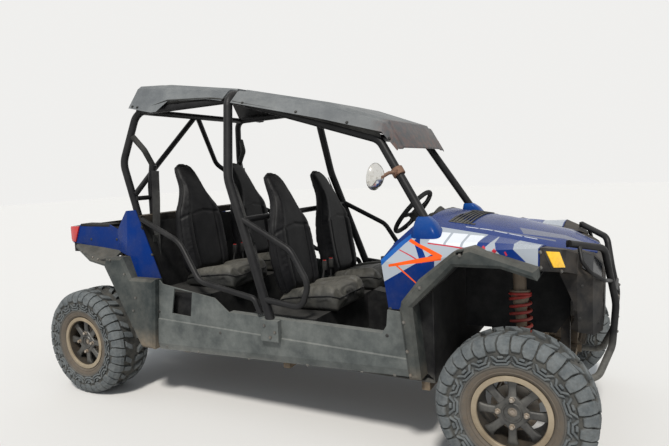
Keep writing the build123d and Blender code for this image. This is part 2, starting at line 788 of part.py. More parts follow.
# Place along the car, height at the tail panel, outer edge's place across the car and height
wing_table = [
    (rear_axle_x - 196.0, bed_floor_height + 42.0, tail_y + 35.0, bed_floor_height + 34.0),
    (rear_axle_x + 26.0, bed_floor_height + 26.0, rear_flare_half_width - 18.0, bed_floor_height - 36.0),
    (rear_axle_x + 200.0, bed_floor_height + 9.0, rear_flare_half_width, bed_floor_height - 60.0),
]


def wing_section(x, inner_z, outer_y, outer_z):
    """A wing cut across the car, from the tail panel's lower edge out and down."""
    outline = [
        (-tail_y, inner_z), (-outer_y + 12.0, outer_z + wing_wall), (-outer_y, outer_z),
        (-outer_y, outer_z - wing_wall), (-outer_y + 14.0, outer_z - wing_wall), (-tail_y, inner_z - wing_wall),
    ]
    return cross_section(x, outline)


wing = loft([wing_section(*row) for row in wing_table], ruled=True) - rear_flare - rear_panel
wing = max(solids_of(wing), key=lambda solid: solid.volume)
keep("rear_flares", both_sides(rear_flare), both_sides(wing))

# Cargo bed: an open tray over the engine, with a low tailgate
bed_front_x = rear_axle_x + 330.0
bed_rear_x = rear_axle_x - 264.0
bed_wall = 6.0
bed_floor = 10.0
bed_side_z = bed_floor_height + 160.0
bed = block(bed_rear_x, bed_front_x, -bed_half_width, bed_half_width, bed_beam_z, bed_side_z)
bed = bed - block(
    bed_rear_x + bed_wall, bed_front_x - bed_wall, -bed_half_width + bed_wall, bed_half_width - bed_wall,
    bed_floor_height, bed_side_z + 1.0,
)
keep("cargo_bed", bed)

lamp_z = bed_floor_height + 110.0
tail_lamp = block(
    bed_rear_x - 26.0, bed_rear_x, -bed_half_width, -bed_half_width + 120.0, lamp_z - 40.0, lamp_z + 40.0
)
keep("tail_lamps", both_sides(tail_lamp))

# Front fascia: a hollow nose below the hood, with two lamp pods
fascia_wall = 7.0


def fascia_section(x, inset, levels):
    """The nose cut across the car: half widths at falling heights."""
    right = [(-(y - inset), z) for y, z in levels]
    left = [(y - inset, z) for y, z in levels]
    return cross_section(x, right + left[::-1])


# Place along the car, then half widths and heights from the top down
fascia_table = [
    (front_axle_x + 93.0, [
        (355.0, cowl_height - 127.0), (380.0, cowl_height - 235.0), (372.0, cowl_height - 365.0),
        (330.0, cowl_height - 445.0),
    ]),
    (front_axle_x + 220.0, [
        (318.0, cowl_height - 135.0), (380.0, cowl_height - 225.0), (372.0, cowl_height - 395.0),
        (310.0, cowl_height - 510.0),
    ]),
    (front_axle_x + 280.0, [
        (250.0, cowl_height - 162.0), (322.0, cowl_height - 240.0), (318.0, cowl_height - 405.0),
        (260.0, cowl_height - 530.0),
    ]),
    (front_axle_x + 316.0, [
        (130.0, cowl_height - 215.0), (235.0, cowl_height - 265.0), (235.0, cowl_height - 395.0),
        (185.0, cowl_height - 525.0),
    ]),
]
fascia = loft([fascia_section(x, 0.0, levels) for x, levels in fascia_table], ruled=True)
inner_sections = []
for index, (x, levels) in enumerate(fascia_table):
    behind = fascia_wall if index == len(fascia_table) - 1 else 1.0
    shrunk = list(levels)
    shrunk[0] = (shrunk[0][0], shrunk[0][1] - fascia_wall)
    shrunk[-1] = (shrunk[-1][0], shrunk[-1][1] + fascia_wall)
    inner_sections.append(fascia_section(x - behind, fascia_wall, shrunk))
fascia = fascia - loft(inner_sections, ruled=True)
# The curved edge in front of the wheels
nose_edge = [
    (front_axle_x + 80.0, cowl_height - 223.0),
    (front_axle_x + 145.0, cowl_height - 223.0),
    (front_axle_x + 203.0, cowl_height - 357.0),
    (front_axle_x + 206.0, cowl_height - 439.0),
    (front_axle_x + 170.0, cowl_height - 540.0),
    (front_axle_x + 80.0, cowl_height - 585.0),
]
fascia = fascia - side_plate(nose_edge, -body_half_width, body_half_width)
# The slots of the grille in the nose: half width, low and high edges
grille_slots = [
    (120.0, cowl_height - 385.0, cowl_height - 365.0),
    (126.0, cowl_height - 350.0, cowl_height - 330.0),
    (120.0, cowl_height - 315.0, cowl_height - 295.0),
    (104.0, cowl_height - 280.0, cowl_height - 262.0),
]
for half, low, high in grille_slots:
    fascia = fascia - block(front_axle_x + 290.0, front_axle_x + 330.0, -half, half, low, high)


def pod_section(x, inner_y, inner_top, outer_y, outer_top, lower_y, lower_z, foot_y, foot_z):
    """A lamp pod cut across the car: its inner top, outer top, outer foot and inner foot."""
    return cross_section(
        x, [(-inner_y, inner_top), (-outer_y, outer_top), (-lower_y, lower_z), (-foot_y, foot_z)]
    )


# Place along the car, then y and z of the four corners
pod_table = [
    (front_axle_x + 93.0, 352.0, cowl_height - 110.0, 586.0, cowl_height - 82.0, 598.0, cowl_height - 180.0,
     378.0, cowl_height - 217.0),
    (front_axle_x + 183.0, 335.0, cowl_height - 123.0, 470.0, cowl_height - 107.0, 486.0, cowl_height - 199.0,
     380.0, cowl_height - 225.0),
    (front_axle_x + 222.0, 318.0, cowl_height - 135.0, 392.0, cowl_height - 133.0, 398.0, cowl_height - 223.0,
     380.0, cowl_height - 229.0),
]
pod = loft([pod_section(*row) for row in pod_table], ruled=True) - fascia
pod = max(solids_of(pod - hood), key=lambda solid: solid.volume)
fascia = fascia - chassis_frame - hood
keep("front_fascia", fascia)
keep("lamp_pods", both_sides(pod))


def fascia_point(x, level):
    """A point of the nose's outer line at x, on one of its four levels."""
    for (x0, before), (x1, after) in zip(fascia_table, fascia_table[1:]):
        if x <= x1:
            return part_way(before[level], after[level], (x - x0) / (x1 - x0))
    return fascia_table[-1][1][level]


# Lamps on the nose's upper corners: place along the car, share of the slope's top and foot
lens_proud = 7.0
lens_table = [
    (front_axle_x + 238.0, 0.06, 0.72),
    (front_axle_x + 280.0, 0.08, 0.98),
    (front_axle_x + 312.0, 0.18, 1.00),
]
lens_sections = []
for x, upper_share, lower_share in lens_table:
    top, foot = fascia_point(x, 0), fascia_point(x, 1)
    upper, lower = part_way(top, foot, upper_share), part_way(top, foot, lower_share)
    lens_sections.append(cross_section(x, [
        (-upper[0] + lens_proud, upper[1] - lens_proud), (-lower[0] + lens_proud, lower[1] - lens_proud),
        (-lower[0] - lens_proud, lower[1] + 0.5 * lens_proud), (-upper[0] - lens_proud, upper[1] + lens_proud),
    ]))
lens = loft(lens_sections, ruled=True) - pod
lens = max(solids_of(lens - fascia - hood), key=lambda solid: solid.volume)
keep("headlamps", both_sides(lens))

# Bumper: two bent uprights, a top hoop, cross bars and a plate between them
bumper_tube_radius = 16.0
bumper_face_x = front_axle_x + bumper_reach
bumper_rail_z = rail_low + rail_size / 2
bumper_path = [
    (rail_front_x, -rail_y, bumper_rail_z),
    (bumper_face_x - 90.0, -rail_y, bumper_rail_z),
    (bumper_face_x - 30.0, -150.0, cowl_height - 605.0),
    (bumper_face_x - bumper_tube_radius, -137.0, cowl_height - 405.0),
    (bumper_face_x - 42.0, -137.0, cowl_height - 275.0),
    (bumper_face_x - 66.0, -195.0, cowl_height - 135.0),
    (front_axle_x + 187.0, -393.0, cowl_height - 90.0),
]
bumper_side = tube(bumper_path, bumper_tube_radius, [60.0, 90.0, 200.0, 120.0, 60.0])
# The thin guard round each lamp, from the upper tube to the upright
guard_radius = 9.0
guard_path = [
    (front_axle_x + 225.0, -348.0, cowl_height - 104.0),
    (front_axle_x + 240.0, -388.0, cowl_height - 168.0),
    (front_axle_x + 273.0, -372.0, cowl_height - 218.0),
    (front_axle_x + 325.0, -292.0, cowl_height - 266.0),
    (bumper_face_x - 36.0, -140.0, cowl_height - 296.0),
]
bumper_side += tube(guard_path, guard_radius, [25.0, 40.0, 60.0])
bumper = bumper_side + mirrored(bumper_side)
cross_tubes = [
    (bumper_face_x - 20.0, 137.0, cowl_height - 345.0),
    (bumper_face_x - 26.0, 140.0, cowl_height - 565.0),
]
for x, half, z in cross_tubes:
    bumper += rod((x, -half, z), (x, half, z), 12.0)
plate_x = bumper_face_x - 24.0
plate_low, plate_high = cross_tubes[1][2], cross_tubes[0][2]
bumper_plate = block(plate_x, plate_x + 4.0, -137.0, 137.0, plate_low, plate_high)
# Triangular holes up both edges of the plate: height of the middle, way it points
for step, way in ((45.0, 1.0), (100.0, -1.0), (155.0, 1.0)):
    for side in (-1.0, 1.0):
        z = plate_low + step
        hole = [(side * 88.0, z - 18.0 * way), (side * 88.0, z + 18.0 * way), (side * 108.0, z + 14.0 * way)]
        punch = extrude(cross_section(plate_x, hole), amount=8.0, dir=(1, 0, 0))
        bumper_plate = bumper_plate - Pos(-2.0, 0, 0) * punch
bumper = bumper + bumper_plate
keep("front_bumper", bumper)

# Dashboard: a hollow moulding across the cabin, fixed to the cowl posts
dash_rear_x = front_axle_x - 640.0
dash_front_x = cowl_post_x - rail_size / 2
dash_outline = [
    (dash_front_x, cowl_beam_z - 5.0),
    (dash_rear_x + 70.0, cowl_beam_z + 40.0),
    (dash_rear_x, cowl_beam_z - 25.0),
    (dash_rear_x + 25.0, cowl_beam_z - 160.0),
    (dash_front_x, cowl_beam_z - 190.0),
]
dash_face = make_face(Polyline(*dash_outline, close=True))
dash_half_width = body_half_width - 100.0
dash_hole = offset(dash_face, amount=-5.0, kind=Kind.INTERSECTION)
dash = Pos(0, dash_half_width, 0) * extrude(Plane.XZ * dash_face, amount=2 * dash_half_width)
dash_hollow = extrude(Plane.XZ * dash_hole, amount=2 * (dash_half_width - 5.0))
dash = dash - Pos(0, dash_half_width - 5.0, 0) * dash_hollow

# Steering wheel and column
steering_tilt = radians(39.7)
steering_centre = Vector(front_axle_x - 767.0, 268.0, 1074.0)
steering_axis = Vector(-cos(steering_tilt), 0, sin(steering_tilt))
steering_radius = 172.0
grip_radius = 14.0
column_radius = 22.0
steering_shaft_radius = 11.0


def along_column(distance):
    """A point on the column's axis, that far ahead of the steering wheel."""
    return steering_centre - steering_axis * distance


column_start = 70.0
column_length = (firewall_x - steering_centre.X) / cos(steering_tilt) + 40.0
column = rod(tuple(along_column(column_start)), tuple(along_column(column_length)), column_radius)
column_bore = rod(
    tuple(along_column(column_start - 1.0)), tuple(along_column(column_start + 90.0)),
    steering_shaft_radius + shaft_clearance,
)
dash = dash - rod(tuple(along_column(0.0)), tuple(along_column(column_length)), column_radius)
for piece in (side_frame, front_panel):
    dash = dash - piece - mirrored(piece)
dash = max(solids_of(dash - hood - tub), key=lambda solid: solid.volume)
keep("dashboard", dash)
tub = tub - column
keep("floor_tub", tub)
keep("steering_column", column - column_bore)

wheel_plane = Plane(origin=tuple(steering_centre), z_dir=tuple(steering_axis))
ring = wheel_plane * Torus(steering_radius - grip_radius, grip_radius)
hub_pad = extrude(wheel_plane * Circle(38.0), amount=-45.0)
steering_wheel = ring + hub_pad
for turn in (90.0, 210.0, 330.0):
    spoke_length = steering_radius - grip_radius
    spoke = Rot(0, 0, turn) * Pos(spoke_length / 2, 0, -12.0) * Box(spoke_length, 26.0, 8.0)
    steering_wheel += wheel_plane * spoke
shaft_ends = [tuple(along_column(distance)) for distance in (40.0, column_start + 80.0)]
steering_wheel += rod(*shaft_ends, steering_shaft_radius)
keep("steering_wheel", steering_wheel)

# Seats: a cushion and a reclined back for each of four places
seat_y = 268.0
rear_seat_shift = rear_axle_x + 646.0
seat_places = [(0.0, front_seat_z), (rear_seat_shift, rear_seat_z)]
# Along the seat: place, half width, low and high faces above the riser
cushion_table = [
    (-50.0, 190.0, 0.3, 62.0),
    (60.0, 212.0, 0.3, 95.0),
    (250.0, 212.0, 0.3, 128.0),
    (345.0, 200.0, 0.3, 150.0),
]
# Up the back: height, middle of the back, half width, half thickness
back_table = [
    (72.0, -5.0, 195.0, 50.0),
    (250.0, -42.0, 222.0, 52.0),
    (470.0, -66.0, 205.0, 42.0),
    (590.0, -104.0, 130.0, 40.0),
    (755.0, -195.0, 62.0, 28.0),
]


def cushion(x0, y0, z0):
    sections = []
    for x, half, low, high in cushion_table:
        outline = [
            (y0 - half, z0 + low), (y0 - half, z0 + high - 15.0), (y0 - half + 35.0, z0 + high),
            (y0 + half - 35.0, z0 + high), (y0 + half, z0 + high - 15.0), (y0 + half, z0 + low),
        ]
        sections.append(cross_section(x0 + x, outline))
    return loft(sections, ruled=True)


def seat_back(x0, y0, z0):
    sections = []
    for z, middle, half, depth in back_table:
        corner = 0.6 * depth
        outline = [
            (middle - depth, half - corner), (middle - depth + corner, half), (middle + depth - corner, half),
            (middle + depth, half - corner), (middle + depth, -half + corner), (middle + depth - corner, -half),
            (middle - depth + corner, -half), (middle - depth, -half + corner),
        ]
        points = [(x0 + x, y0 + y, z0 + z) for x, y in outline]
        sections.append(make_face(Polyline(*points, close=True)))
    return loft(sections, ruled=True)


cushions, backs = [], []
for shift, seat_z in seat_places:
    for y in (-seat_y, seat_y):
        lower = cushion(shift, y, seat_z)
        back = seat_back(shift, y, seat_z) - lower
        cushions.append(lower)
        backs.append(max(solids_of(back), key=lambda solid: solid.volume))
keep("seat_cushions", cushions)
keep("seat_backs", backs)

# Console, lever and pedals
console_half_width = 48.0
console = side_plate(
    [
        (front_riser_x + 20.0, rail_high + sheet),
        (front_riser_x + 330.0, rail_high + sheet),
        (front_riser_x + 300.0, 600.0),
        (front_riser_x + 60.0, 640.0),
        (front_riser_x + 20.0, 600.0),
    ],
    -console_half_width, console_half_width,
)
keep("console", console)
lever = tube(
    [
        (front_riser_x + 170.0, 20.0, 610.0),
        (front_riser_x + 150.0, 22.0, 720.0),
        (front_riser_x + 100.0, 24.0, 800.0),
    ],
    7.0, 60.0,
)
lever += Pos(front_riser_x + 100.0, 24.0, 812.0) * Cylinder(18.0, 34.0)
lever = max(solids_of(lever - console), key=lambda solid: solid.volume)
pedals = []
for y in (210.0, 300.0):
    arm = tube(
        [(firewall_x, y, 640.0), (firewall_x - 60.0, y, 600.0), (firewall_x - 95.0, y, 470.0)], 6.0, 30.0
    )
    foot_pad = block(firewall_x - 108.0, firewall_x - 92.0, y - 28.0, y + 28.0, 430.0, 490.0)
    pedals.append(arm + foot_pad - tub)
keep("controls", lever, [max(solids_of(pedal), key=lambda solid: solid.volume) for pedal in pedals])

# Mirror: a clamp on the right pillar, a stalk and a round head
mirror_radius = 64.0
mirror_clamp = part_way(side_path[0], side_path[1], 0.636)
mirror_centre = (mirror_clamp[0] - 37.0, mirror_clamp[1] - 204.0, mirror_clamp[2] - 16.0)
stalk = rod(mirror_clamp, (mirror_centre[0] + 4.0, mirror_centre[1] + 20.0, mirror_centre[2]), 9.0)
pillar_way = Vector(*side_path[1]) - Vector(*side_path[0])
clamp_ring = Plane(origin=mirror_clamp, z_dir=tuple(pillar_way)) * Cylinder(rail_tube_radius + 10.0, 40.0)
face_plane = Plane(origin=mirror_centre, z_dir=(-0.97, 0.18, 0.12))
dome = face_plane * Pos(0, 0, -24.0) * Cone(34.0, mirror_radius, 30.0)
rim_disc = extrude(face_plane * Circle(mirror_radius), amount=6.0)
mirror_arm = stalk + clamp_ring + dome + rim_disc - side_frame
keep("mirror", max(solids_of(mirror_arm), key=lambda solid: solid.volume))

# Belt guides: ribbed sleeves behind the rear seats
guide_path = [
    (rear_pillar_x - 20.0, -540.0, rear_corner_z - 148.0),
    (rear_pillar_x + 30.0, -500.0, 0.5 * (rear_corner_z + upright_top_z) - 70.0),
    (upright_x + 25.0, -upright_y, upright_top_z - 1.0),
]
guide = tube(guide_path, 18.0, 60.0) - side_frame - upright
guide = max(solids_of(guide), key=lambda solid: solid.volume)
keep("belt_guides", both_sides(guide))

# Power train
engine = block(rear_post_x - 250.0, rear_post_x + 20.0, -190.0, 190.0, rail_high, 790.0)
keep("engine_block", engine)
joint_radius = 29.5
half_shaft_radius = 13.0


def drive(axle_x, half_length, joint_y, case_z):
    """A gearcase on a cross member, with a shaft and a joint to each hub."""
    case = block(axle_x - half_length, axle_x + half_length, -90.0, 90.0, rail_high, case_z)
    parts = case
    for side in (-1, 1):
        start = (axle_x, side * 85.0, hub_height + 70.0)
        parts += rod(start, (axle_x, side * joint_y, hub_height), half_shaft_radius)
        parts += rod(start, (axle_x, side * 150.0, hub_height + 61.0), 34.0)
        parts += Pos(axle_x, side * joint_y, hub_height) * Sphere(joint_radius)
    return parts - chassis_frame


front_drive = drive(front_axle_x, 48.0, king_pin_y, rail_high + 150.0)
rear_drive = drive(rear_axle_x, 80.0, carrier_y, rail_high + 170.0)
keep("front_drive", front_drive)
keep("rear_drive", rear_drive)
muffler_radius = 65.0
muffler_x = rail_rear_x - muffler_radius - running_gap
muffler_z = 640.0
muffler_reach = rail_y + 30.0
muffler_ends = [(muffler_x, y, muffler_z) for y in (-muffler_reach, muffler_reach)]
keep("muffler", rod(*muffler_ends, muffler_radius))
radiator_x = front_axle_x + tower_reach + rail_size / 2 + running_gap
keep("radiator", block(radiator_x, radiator_x + 30.0, -rail_y, rail_y, 630.0, 830.0))

# Suspension arms: a forked arm with a boss at the ball joint and bushes at the frame
arm_tube_radius = 12.0
boss_radius = 20.0
boss_height = 36.0
bush_radius = 20.0
bush_length = 46.0
pivot_y = rail_y + rail_size / 2 + bush_radius + running_gap
knuckle_half_height = 52.0
ball_reach = knuckle_half_height + running_gap + boss_height / 2
lower_pivot_z = rail_low + rail_size / 2
upper_pivot_z = 460.0
shock_plate_rise = 34.0


def arm(axle_x, spread, ball_y, ball_z, pivot_z):
    """One fork on the right side, from the frame out to the ball joint."""
    boss = Pos(axle_x, -ball_y, ball_z) * Cylinder(boss_radius, boss_height)
    for side in (-1, 1):
        boss += rod((axle_x + side * spread, -pivot_y, pivot_z), (axle_x, -ball_y, ball_z), arm_tube_radius)
        boss += rod(
            (axle_x + side * spread - bush_length / 2, -pivot_y, pivot_z),
            (axle_x + side * spread + bush_length / 2, -pivot_y, pivot_z), bush_radius,
        )
    return boss


def arm_height(y, ball_y, ball_z, pivot_z):
    """The height of an arm's middle line at a place across the car."""
    return ball_z + (ball_y - y) / (ball_y - pivot_y) * (pivot_z - ball_z)


lower_ball_z = hub_height - ball_reach
upper_ball_z = hub_height + ball_reach
# Axle, half spread of the fork, ball joint, shock's foot and head across the car, head's height
corner_table = [
    (front_axle_x, tower_reach, king_pin_y, king_pin_y - 159.0, king_pin_y - 209.0, front_axle_x - 20.0,
     front_tower_z - rail_size),
    (rear_axle_x, rear_tower_reach, carrier_y, carrier_y - 147.0, carrier_y - 190.0, rear_axle_x + 20.0,
     bed_beam_z - rail_size),
]
eye_radius = 16.0
damper_radius = 24.0
spring_outer = 45.0
spring_inner = 34.0
spring_turns = 5


def spring(start, way, length):
    """A coil spring as a closed sleeve with a ridge for each turn."""
    pitch = length / spring_turns
    outer = []
    for turn in range(spring_turns):
        low = turn * pitch
        outer += [(spring_outer, low), (spring_outer, low + 0.4 * pitch), (spring_inner + 3.0, low + 0.7 * pitch)]
    outline = [(spring_inner, 0.0)] + outer + [(spring_outer, length), (spring_inner, length)]
    ridged = revolve(Plane.XZ * make_face(Polyline(*outline, close=True)), axis=Axis.Z)
    return Plane(origin=tuple(start), z_dir=tuple(way)) * ridged


arms, shocks, springs = [], [], []
for axle_x, spread, ball_y, foot_y, head_y, head_x, beam_z in corner_table:
    foot_z = arm_height(foot_y, ball_y, upper_ball_z, upper_pivot_z) + shock_plate_rise
    lower_arm = arm(axle_x, spread, ball_y, lower_ball_z, lower_pivot_z)
    upper_arm = arm(axle_x, spread, ball_y, upper_ball_z, upper_pivot_z)
    plate_reach = spread * (ball_y - foot_y) / (ball_y - pivot_y)
    upper_arm += block(
        axle_x - plate_reach, axle_x + plate_reach, -foot_y - 28.0, -foot_y + 28.0, foot_z - 40.0, foot_z
    )
    arms.append([lower_arm, upper_arm])
    foot = Vector(axle_x, -foot_y, foot_z + eye_radius + running_gap)
    head = Vector(head_x, -head_y, beam_z - eye_radius - running_gap)
    line = (head - foot).normalized()
    length = (head - foot).length
    spring_low = 0.3 * length
    spring_high = 0.8 * length
    seat_height = 8.0
    lower_eye = rod((axle_x - 18.0, -foot_y, foot.Z), (axle_x + 18.0, -foot_y, foot.Z), eye_radius)
    upper_eye = rod((head_x - 18.0, -head_y, head.Z), (head_x + 18.0, -head_y, head.Z), eye_radius)
    damper = rod(tuple(foot), tuple(foot + line * spring_high), damper_radius)
    damper += rod(tuple(foot), tuple(head), 12.0) + lower_eye + upper_eye
    for seat_low in (spring_low - seat_height, spring_high):
        seat_ends = [tuple(foot + line * distance) for distance in (seat_low, seat_low + seat_height)]
        damper += rod(*seat_ends, spring_outer)
    shocks.append(damper)
    low_end = foot + line * (spring_low + running_gap)
    high_end = foot + line * (spring_high - running_gap)
    springs.append(spring(low_end, line, (high_end - low_end).length))
keep("front_arms", [both_sides(piece) for piece in arms[0]])
keep("rear_arms", [both_sides(piece) for piece in arms[1]])
keep("shocks", [both_sides(piece) for piece in shocks])
keep("springs", [both_sides(piece) for piece in springs])

# Knuckles and carriers: drawn for the right side, with the hub's middle plane at wheel_y
housing_radius = 50.0
web_radius = 18.0
spindle_radius = 17.0
spindle_length = 55.0
hub_face = 4.0


def knuckle(axle_x, wheel_y, pin_y):
    """The casting between the two ball joints, with the spindle on its outer face."""
    face_y = wheel_y - hub_face
    web_y = pin_y + 20.0
    low, high = hub_height - knuckle_half_height, hub_height + knuckle_half_height
    body = block(axle_x - 20.0, axle_x + 20.0, -web_y, -pin_y, low, high)
    body += rod((axle_x, -pin_y, low), (axle_x, -pin_y, high), web_radius)
    body += rod((axle_x, -pin_y, hub_height), (axle_x, -face_y, hub_height), housing_radius)
    window = block(axle_x - 70.0, axle_x + 70.0, -pin_y, -pin_y + 40.0, hub_height - 42.0, hub_height + 42.0)
    socket = Pos(axle_x, -pin_y, hub_height) * Sphere(joint_radius + running_gap)
    spindle = rod((axle_x, -face_y, hub_height), (axle_x, -face_y - spindle_length, hub_height), spindle_radius)
    return body - window - socket + spindle


steer_arm_reach = 90.0
steer_ball_y = king_pin_y - 14.0
steer_ball_z = hub_height + 30.0
rack_z = rail_high + 30.0
rack_x = front_axle_x - steer_arm_reach
knuckle_right = knuckle(front_axle_x, front_wheel_y, king_pin_y)
steer_arm = block(
    rack_x - 12.0, front_axle_x - 40.0, -steer_ball_y - 12.0, -steer_ball_y + 12.0, steer_ball_z - 20.0,
    steer_ball_z - 8.0,
)
steer_arm += block(
    front_axle_x - 62.0, front_axle_x - 40.0, -king_pin_y - 30.0, -steer_ball_y + 12.0, steer_ball_z - 20.0,
    steer_ball_z - 8.0,
)
knuckle_right = knuckle_right + steer_arm
keep("knuckle_right", knuckle_right)
keep("knuckle_left", mirrored(knuckle_right))
keep("rear_carriers", both_sides(knuckle(rear_axle_x, rear_wheel_y, carrier_y)))

# Steering rack: a housing on the rails, a sliding bar and two tie rods
rack_bar_radius = 11.0
rack_housing_radius = 22.0
rack_bar_reach = 320.0
housing_reach = rail_y + 20.0
rack_housing = rod((rack_x, -housing_reach, rack_z), (rack_x, housing_reach, rack_z), rack_housing_radius)
for side in (-1, 1):
    rack_housing += block(
        rack_x - 18.0, rack_x + 18.0, side * rail_y - 15.0, side * rail_y + 15.0, rail_high, rack_z
    )
rack_housing = rack_housing - rod(
    (rack_x, -housing_reach - 1.0, rack_z), (rack_x, housing_reach + 1.0, rack_z), rack_bar_radius + shaft_clearance
)
keep("rack_housing", rack_housing)
rack_bar = rod((rack_x, -rack_bar_reach, rack_z), (rack_x, rack_bar_reach, rack_z), rack_bar_radius)
keep("rack_bar", rack_bar)
tie_gap = 6.0
tie_radius = 7.0
tie_inner = (rack_x, -rack_bar_reach - tie_gap, rack_z)
tie_outer = (rack_x, -steer_ball_y, steer_ball_z)
tie_rod = rod(tie_inner, tie_outer, tie_radius)
tie_rod += Pos(rack_x, -steer_ball_y, steer_ball_z) * Cylinder(12.0, 16.0 - 2 * running_gap)
keep("tie_rod_right", tie_rod)
keep("tie_rod_left", mirrored(tie_rod))


# Wheels: drawn round the Y axis with the outer side towards +Y
tyre_sides = 24
tread_rows = 12
tread_depth = 17.0
groove_width = 52.0
groove_turn = 20.0
groove_start = -18.0


def ring_section(y, radius):
    """A regular polygon across the axle, its flats at the radius."""
    corner = radius / cos(radians(180.0 / tyre_sides))
    points = [
        (corner * sin(radians(360.0 * k / tyre_sides)), y, corner * cos(radians(360.0 * k / tyre_sides)))
        for k in range(tyre_sides)
    ]
    return make_face(Polyline(*points, close=True))


def tyre(width):
    """A tyre with grooves cut across both halves of its tread, down to the carcass."""
    half = width / 2
    bead = half - rim_inset - 8.0
    # Half of the outline, from the bead out: place across the tyre, radius
    half_line = [
        (bead, rim_lip_radius + 3.0), (half, rim_lip_radius + 45.0), (half - 2.0, tyre_radius - 42.0),
        (half - 24.0, tyre_radius - 8.0), (half - 60.0, tyre_radius),
    ]
    stations = [(-y, radius) for y, radius in half_line] + half_line[::-1]
    flat_share = cos(radians(180.0 / tyre_sides))
    body = loft([ring_section(y, radius * flat_share) for y, radius in stations], ruled=True)
    bore = loft([ring_section(y, rim_seat_radius + running_gap) for y in (-half, half)], ruled=True)
    floor = tyre_radius - tread_depth
    # A groove's outline: place across the tyre, radius
    groove = [
        (groove_start, floor), (half - 36.0, floor - 6.0), (half - 10.0, floor - 52.0),
        (half + 6.0, floor - 52.0), (half + 6.0, tyre_radius + 10.0), (groove_start, tyre_radius + 10.0),
    ]
    face = make_face(Polyline(*[(0.0, y, radius) for y, radius in groove], close=True))
    cutter = Pos(-groove_width / 2, 0, 0) * extrude(face, amount=groove_width, dir=(1, 0, 0))
    cutters = []
    for index in range(tread_rows):
        outer_angle = 360.0 * (index + 0.25) / tread_rows
        inner_angle = 360.0 * (index + 0.75) / tread_rows
        outer_side = Rot(0, outer_angle, 0) * Rot(0, 0, groove_turn) * cutter
        inner_side = Rot(0, inner_angle, 0) * Rot(0, 0, 180.0 + groove_turn) * cutter
        cutters += [outer_side, inner_side]
    return body - ([bore] + cutters)


rim_wall = 5.0
lip_wall = 7.0
hub_radius = 40.0
flange_radius = 90.0
spoke_count = 8
disc_wall = 14.0
brake_radius = 100.0
brake_wall = 5.0


def rim(width):
    half = width / 2
    lip = half - rim_inset
    inner = rim_seat_radius - rim_wall
    outline = [
        (rim_lip_radius, lip), (rim_lip_radius, lip - lip_wall), (rim_seat_radius, lip - lip_wall),
        (rim_seat_radius, -lip + lip_wall), (rim_lip_radius, -lip + lip_wall), (rim_lip_radius, -lip),
        (inner, -lip), (inner, lip),
    ]
    barrel = revolve(make_face(Polyline(*outline, close=True)), axis=Axis.Y)
    disc_y = lip - 44.0
    hub_start = -hub_face + running_gap
    disc = rod((0, disc_y, 0), (0, disc_y + disc_wall, 0), inner + 1.0)
    hub = rod((0, hub_start, 0), (0, disc_y + disc_wall + 16.0, 0), hub_radius)
    brake = rod((0, hub_start + 8.0, 0), (0, hub_start + 8.0 + brake_wall, 0), brake_radius)
    bore_end = spindle_length - hub_face + 1.0
    bore = rod((0, hub_start - 1.0, 0), (0, bore_end, 0), spindle_radius + shaft_clearance)
    windows = []
    for index in range(spoke_count):
        outline = [
            (flange_radius + 6.0, -13.0), (inner - 8.0, -32.0), (inner - 8.0, 32.0), (flange_radius + 6.0, 13.0)
        ]
        window = make_face(Polyline(*outline, close=True))
        cut = Pos(0, disc_y - 1.0, 0) * extrude(Plane.ZX * window, amount=disc_wall + 2.0)
        windows.append(Rot(0, index * 360.0 / spoke_count, 0) * cut)
    return barrel + disc + hub + brake - windows - bore


wheel_table = [
    ("front", front_axle_x, front_wheel_y, front_tyre_width),
    ("rear", rear_axle_x, rear_wheel_y, rear_tyre_width),
]
for place, axle_x, wheel_y, width in wheel_table:
    left_tyre = Pos(axle_x, wheel_y, hub_height) * tyre(width)
    left_rim = Pos(axle_x, wheel_y, hub_height) * rim(width)
    keep("tyre_" + place + "_left", left_tyre)
    keep("tyre_" + place + "_right", mirrored(left_tyre))
    keep("rim_" + place + "_left", left_rim)
    keep("rim_" + place + "_right", mirrored(left_rim))

def build_all():
    os.makedirs("parts", exist_ok=True)
    for name, solids in nodes.items():
        export_step(Compound(solids), os.path.join("parts", name + ".step"))


build_all()
print("nodes", len(nodes))
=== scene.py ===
# %% [markdown]
# # A four-seat side-by-side buggy, dressed for the camera
#
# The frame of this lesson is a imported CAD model: steel tubes, moulded panels, wheels and
# seats, all in metres and all in one shared frame. X points forward, Y to the car's left
# and Z up, with the ground at zero. Nothing of that frame is moved. What Blender adds is
# what a drawing board leaves out: tread, cloth, dust, stripes, bolts and coils.

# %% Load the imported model
import math

import bmesh
import bpy
from mathutils import Matrix, Vector
from mathutils.bvhtree import BVHTree
from mathutils.kdtree import KDTree


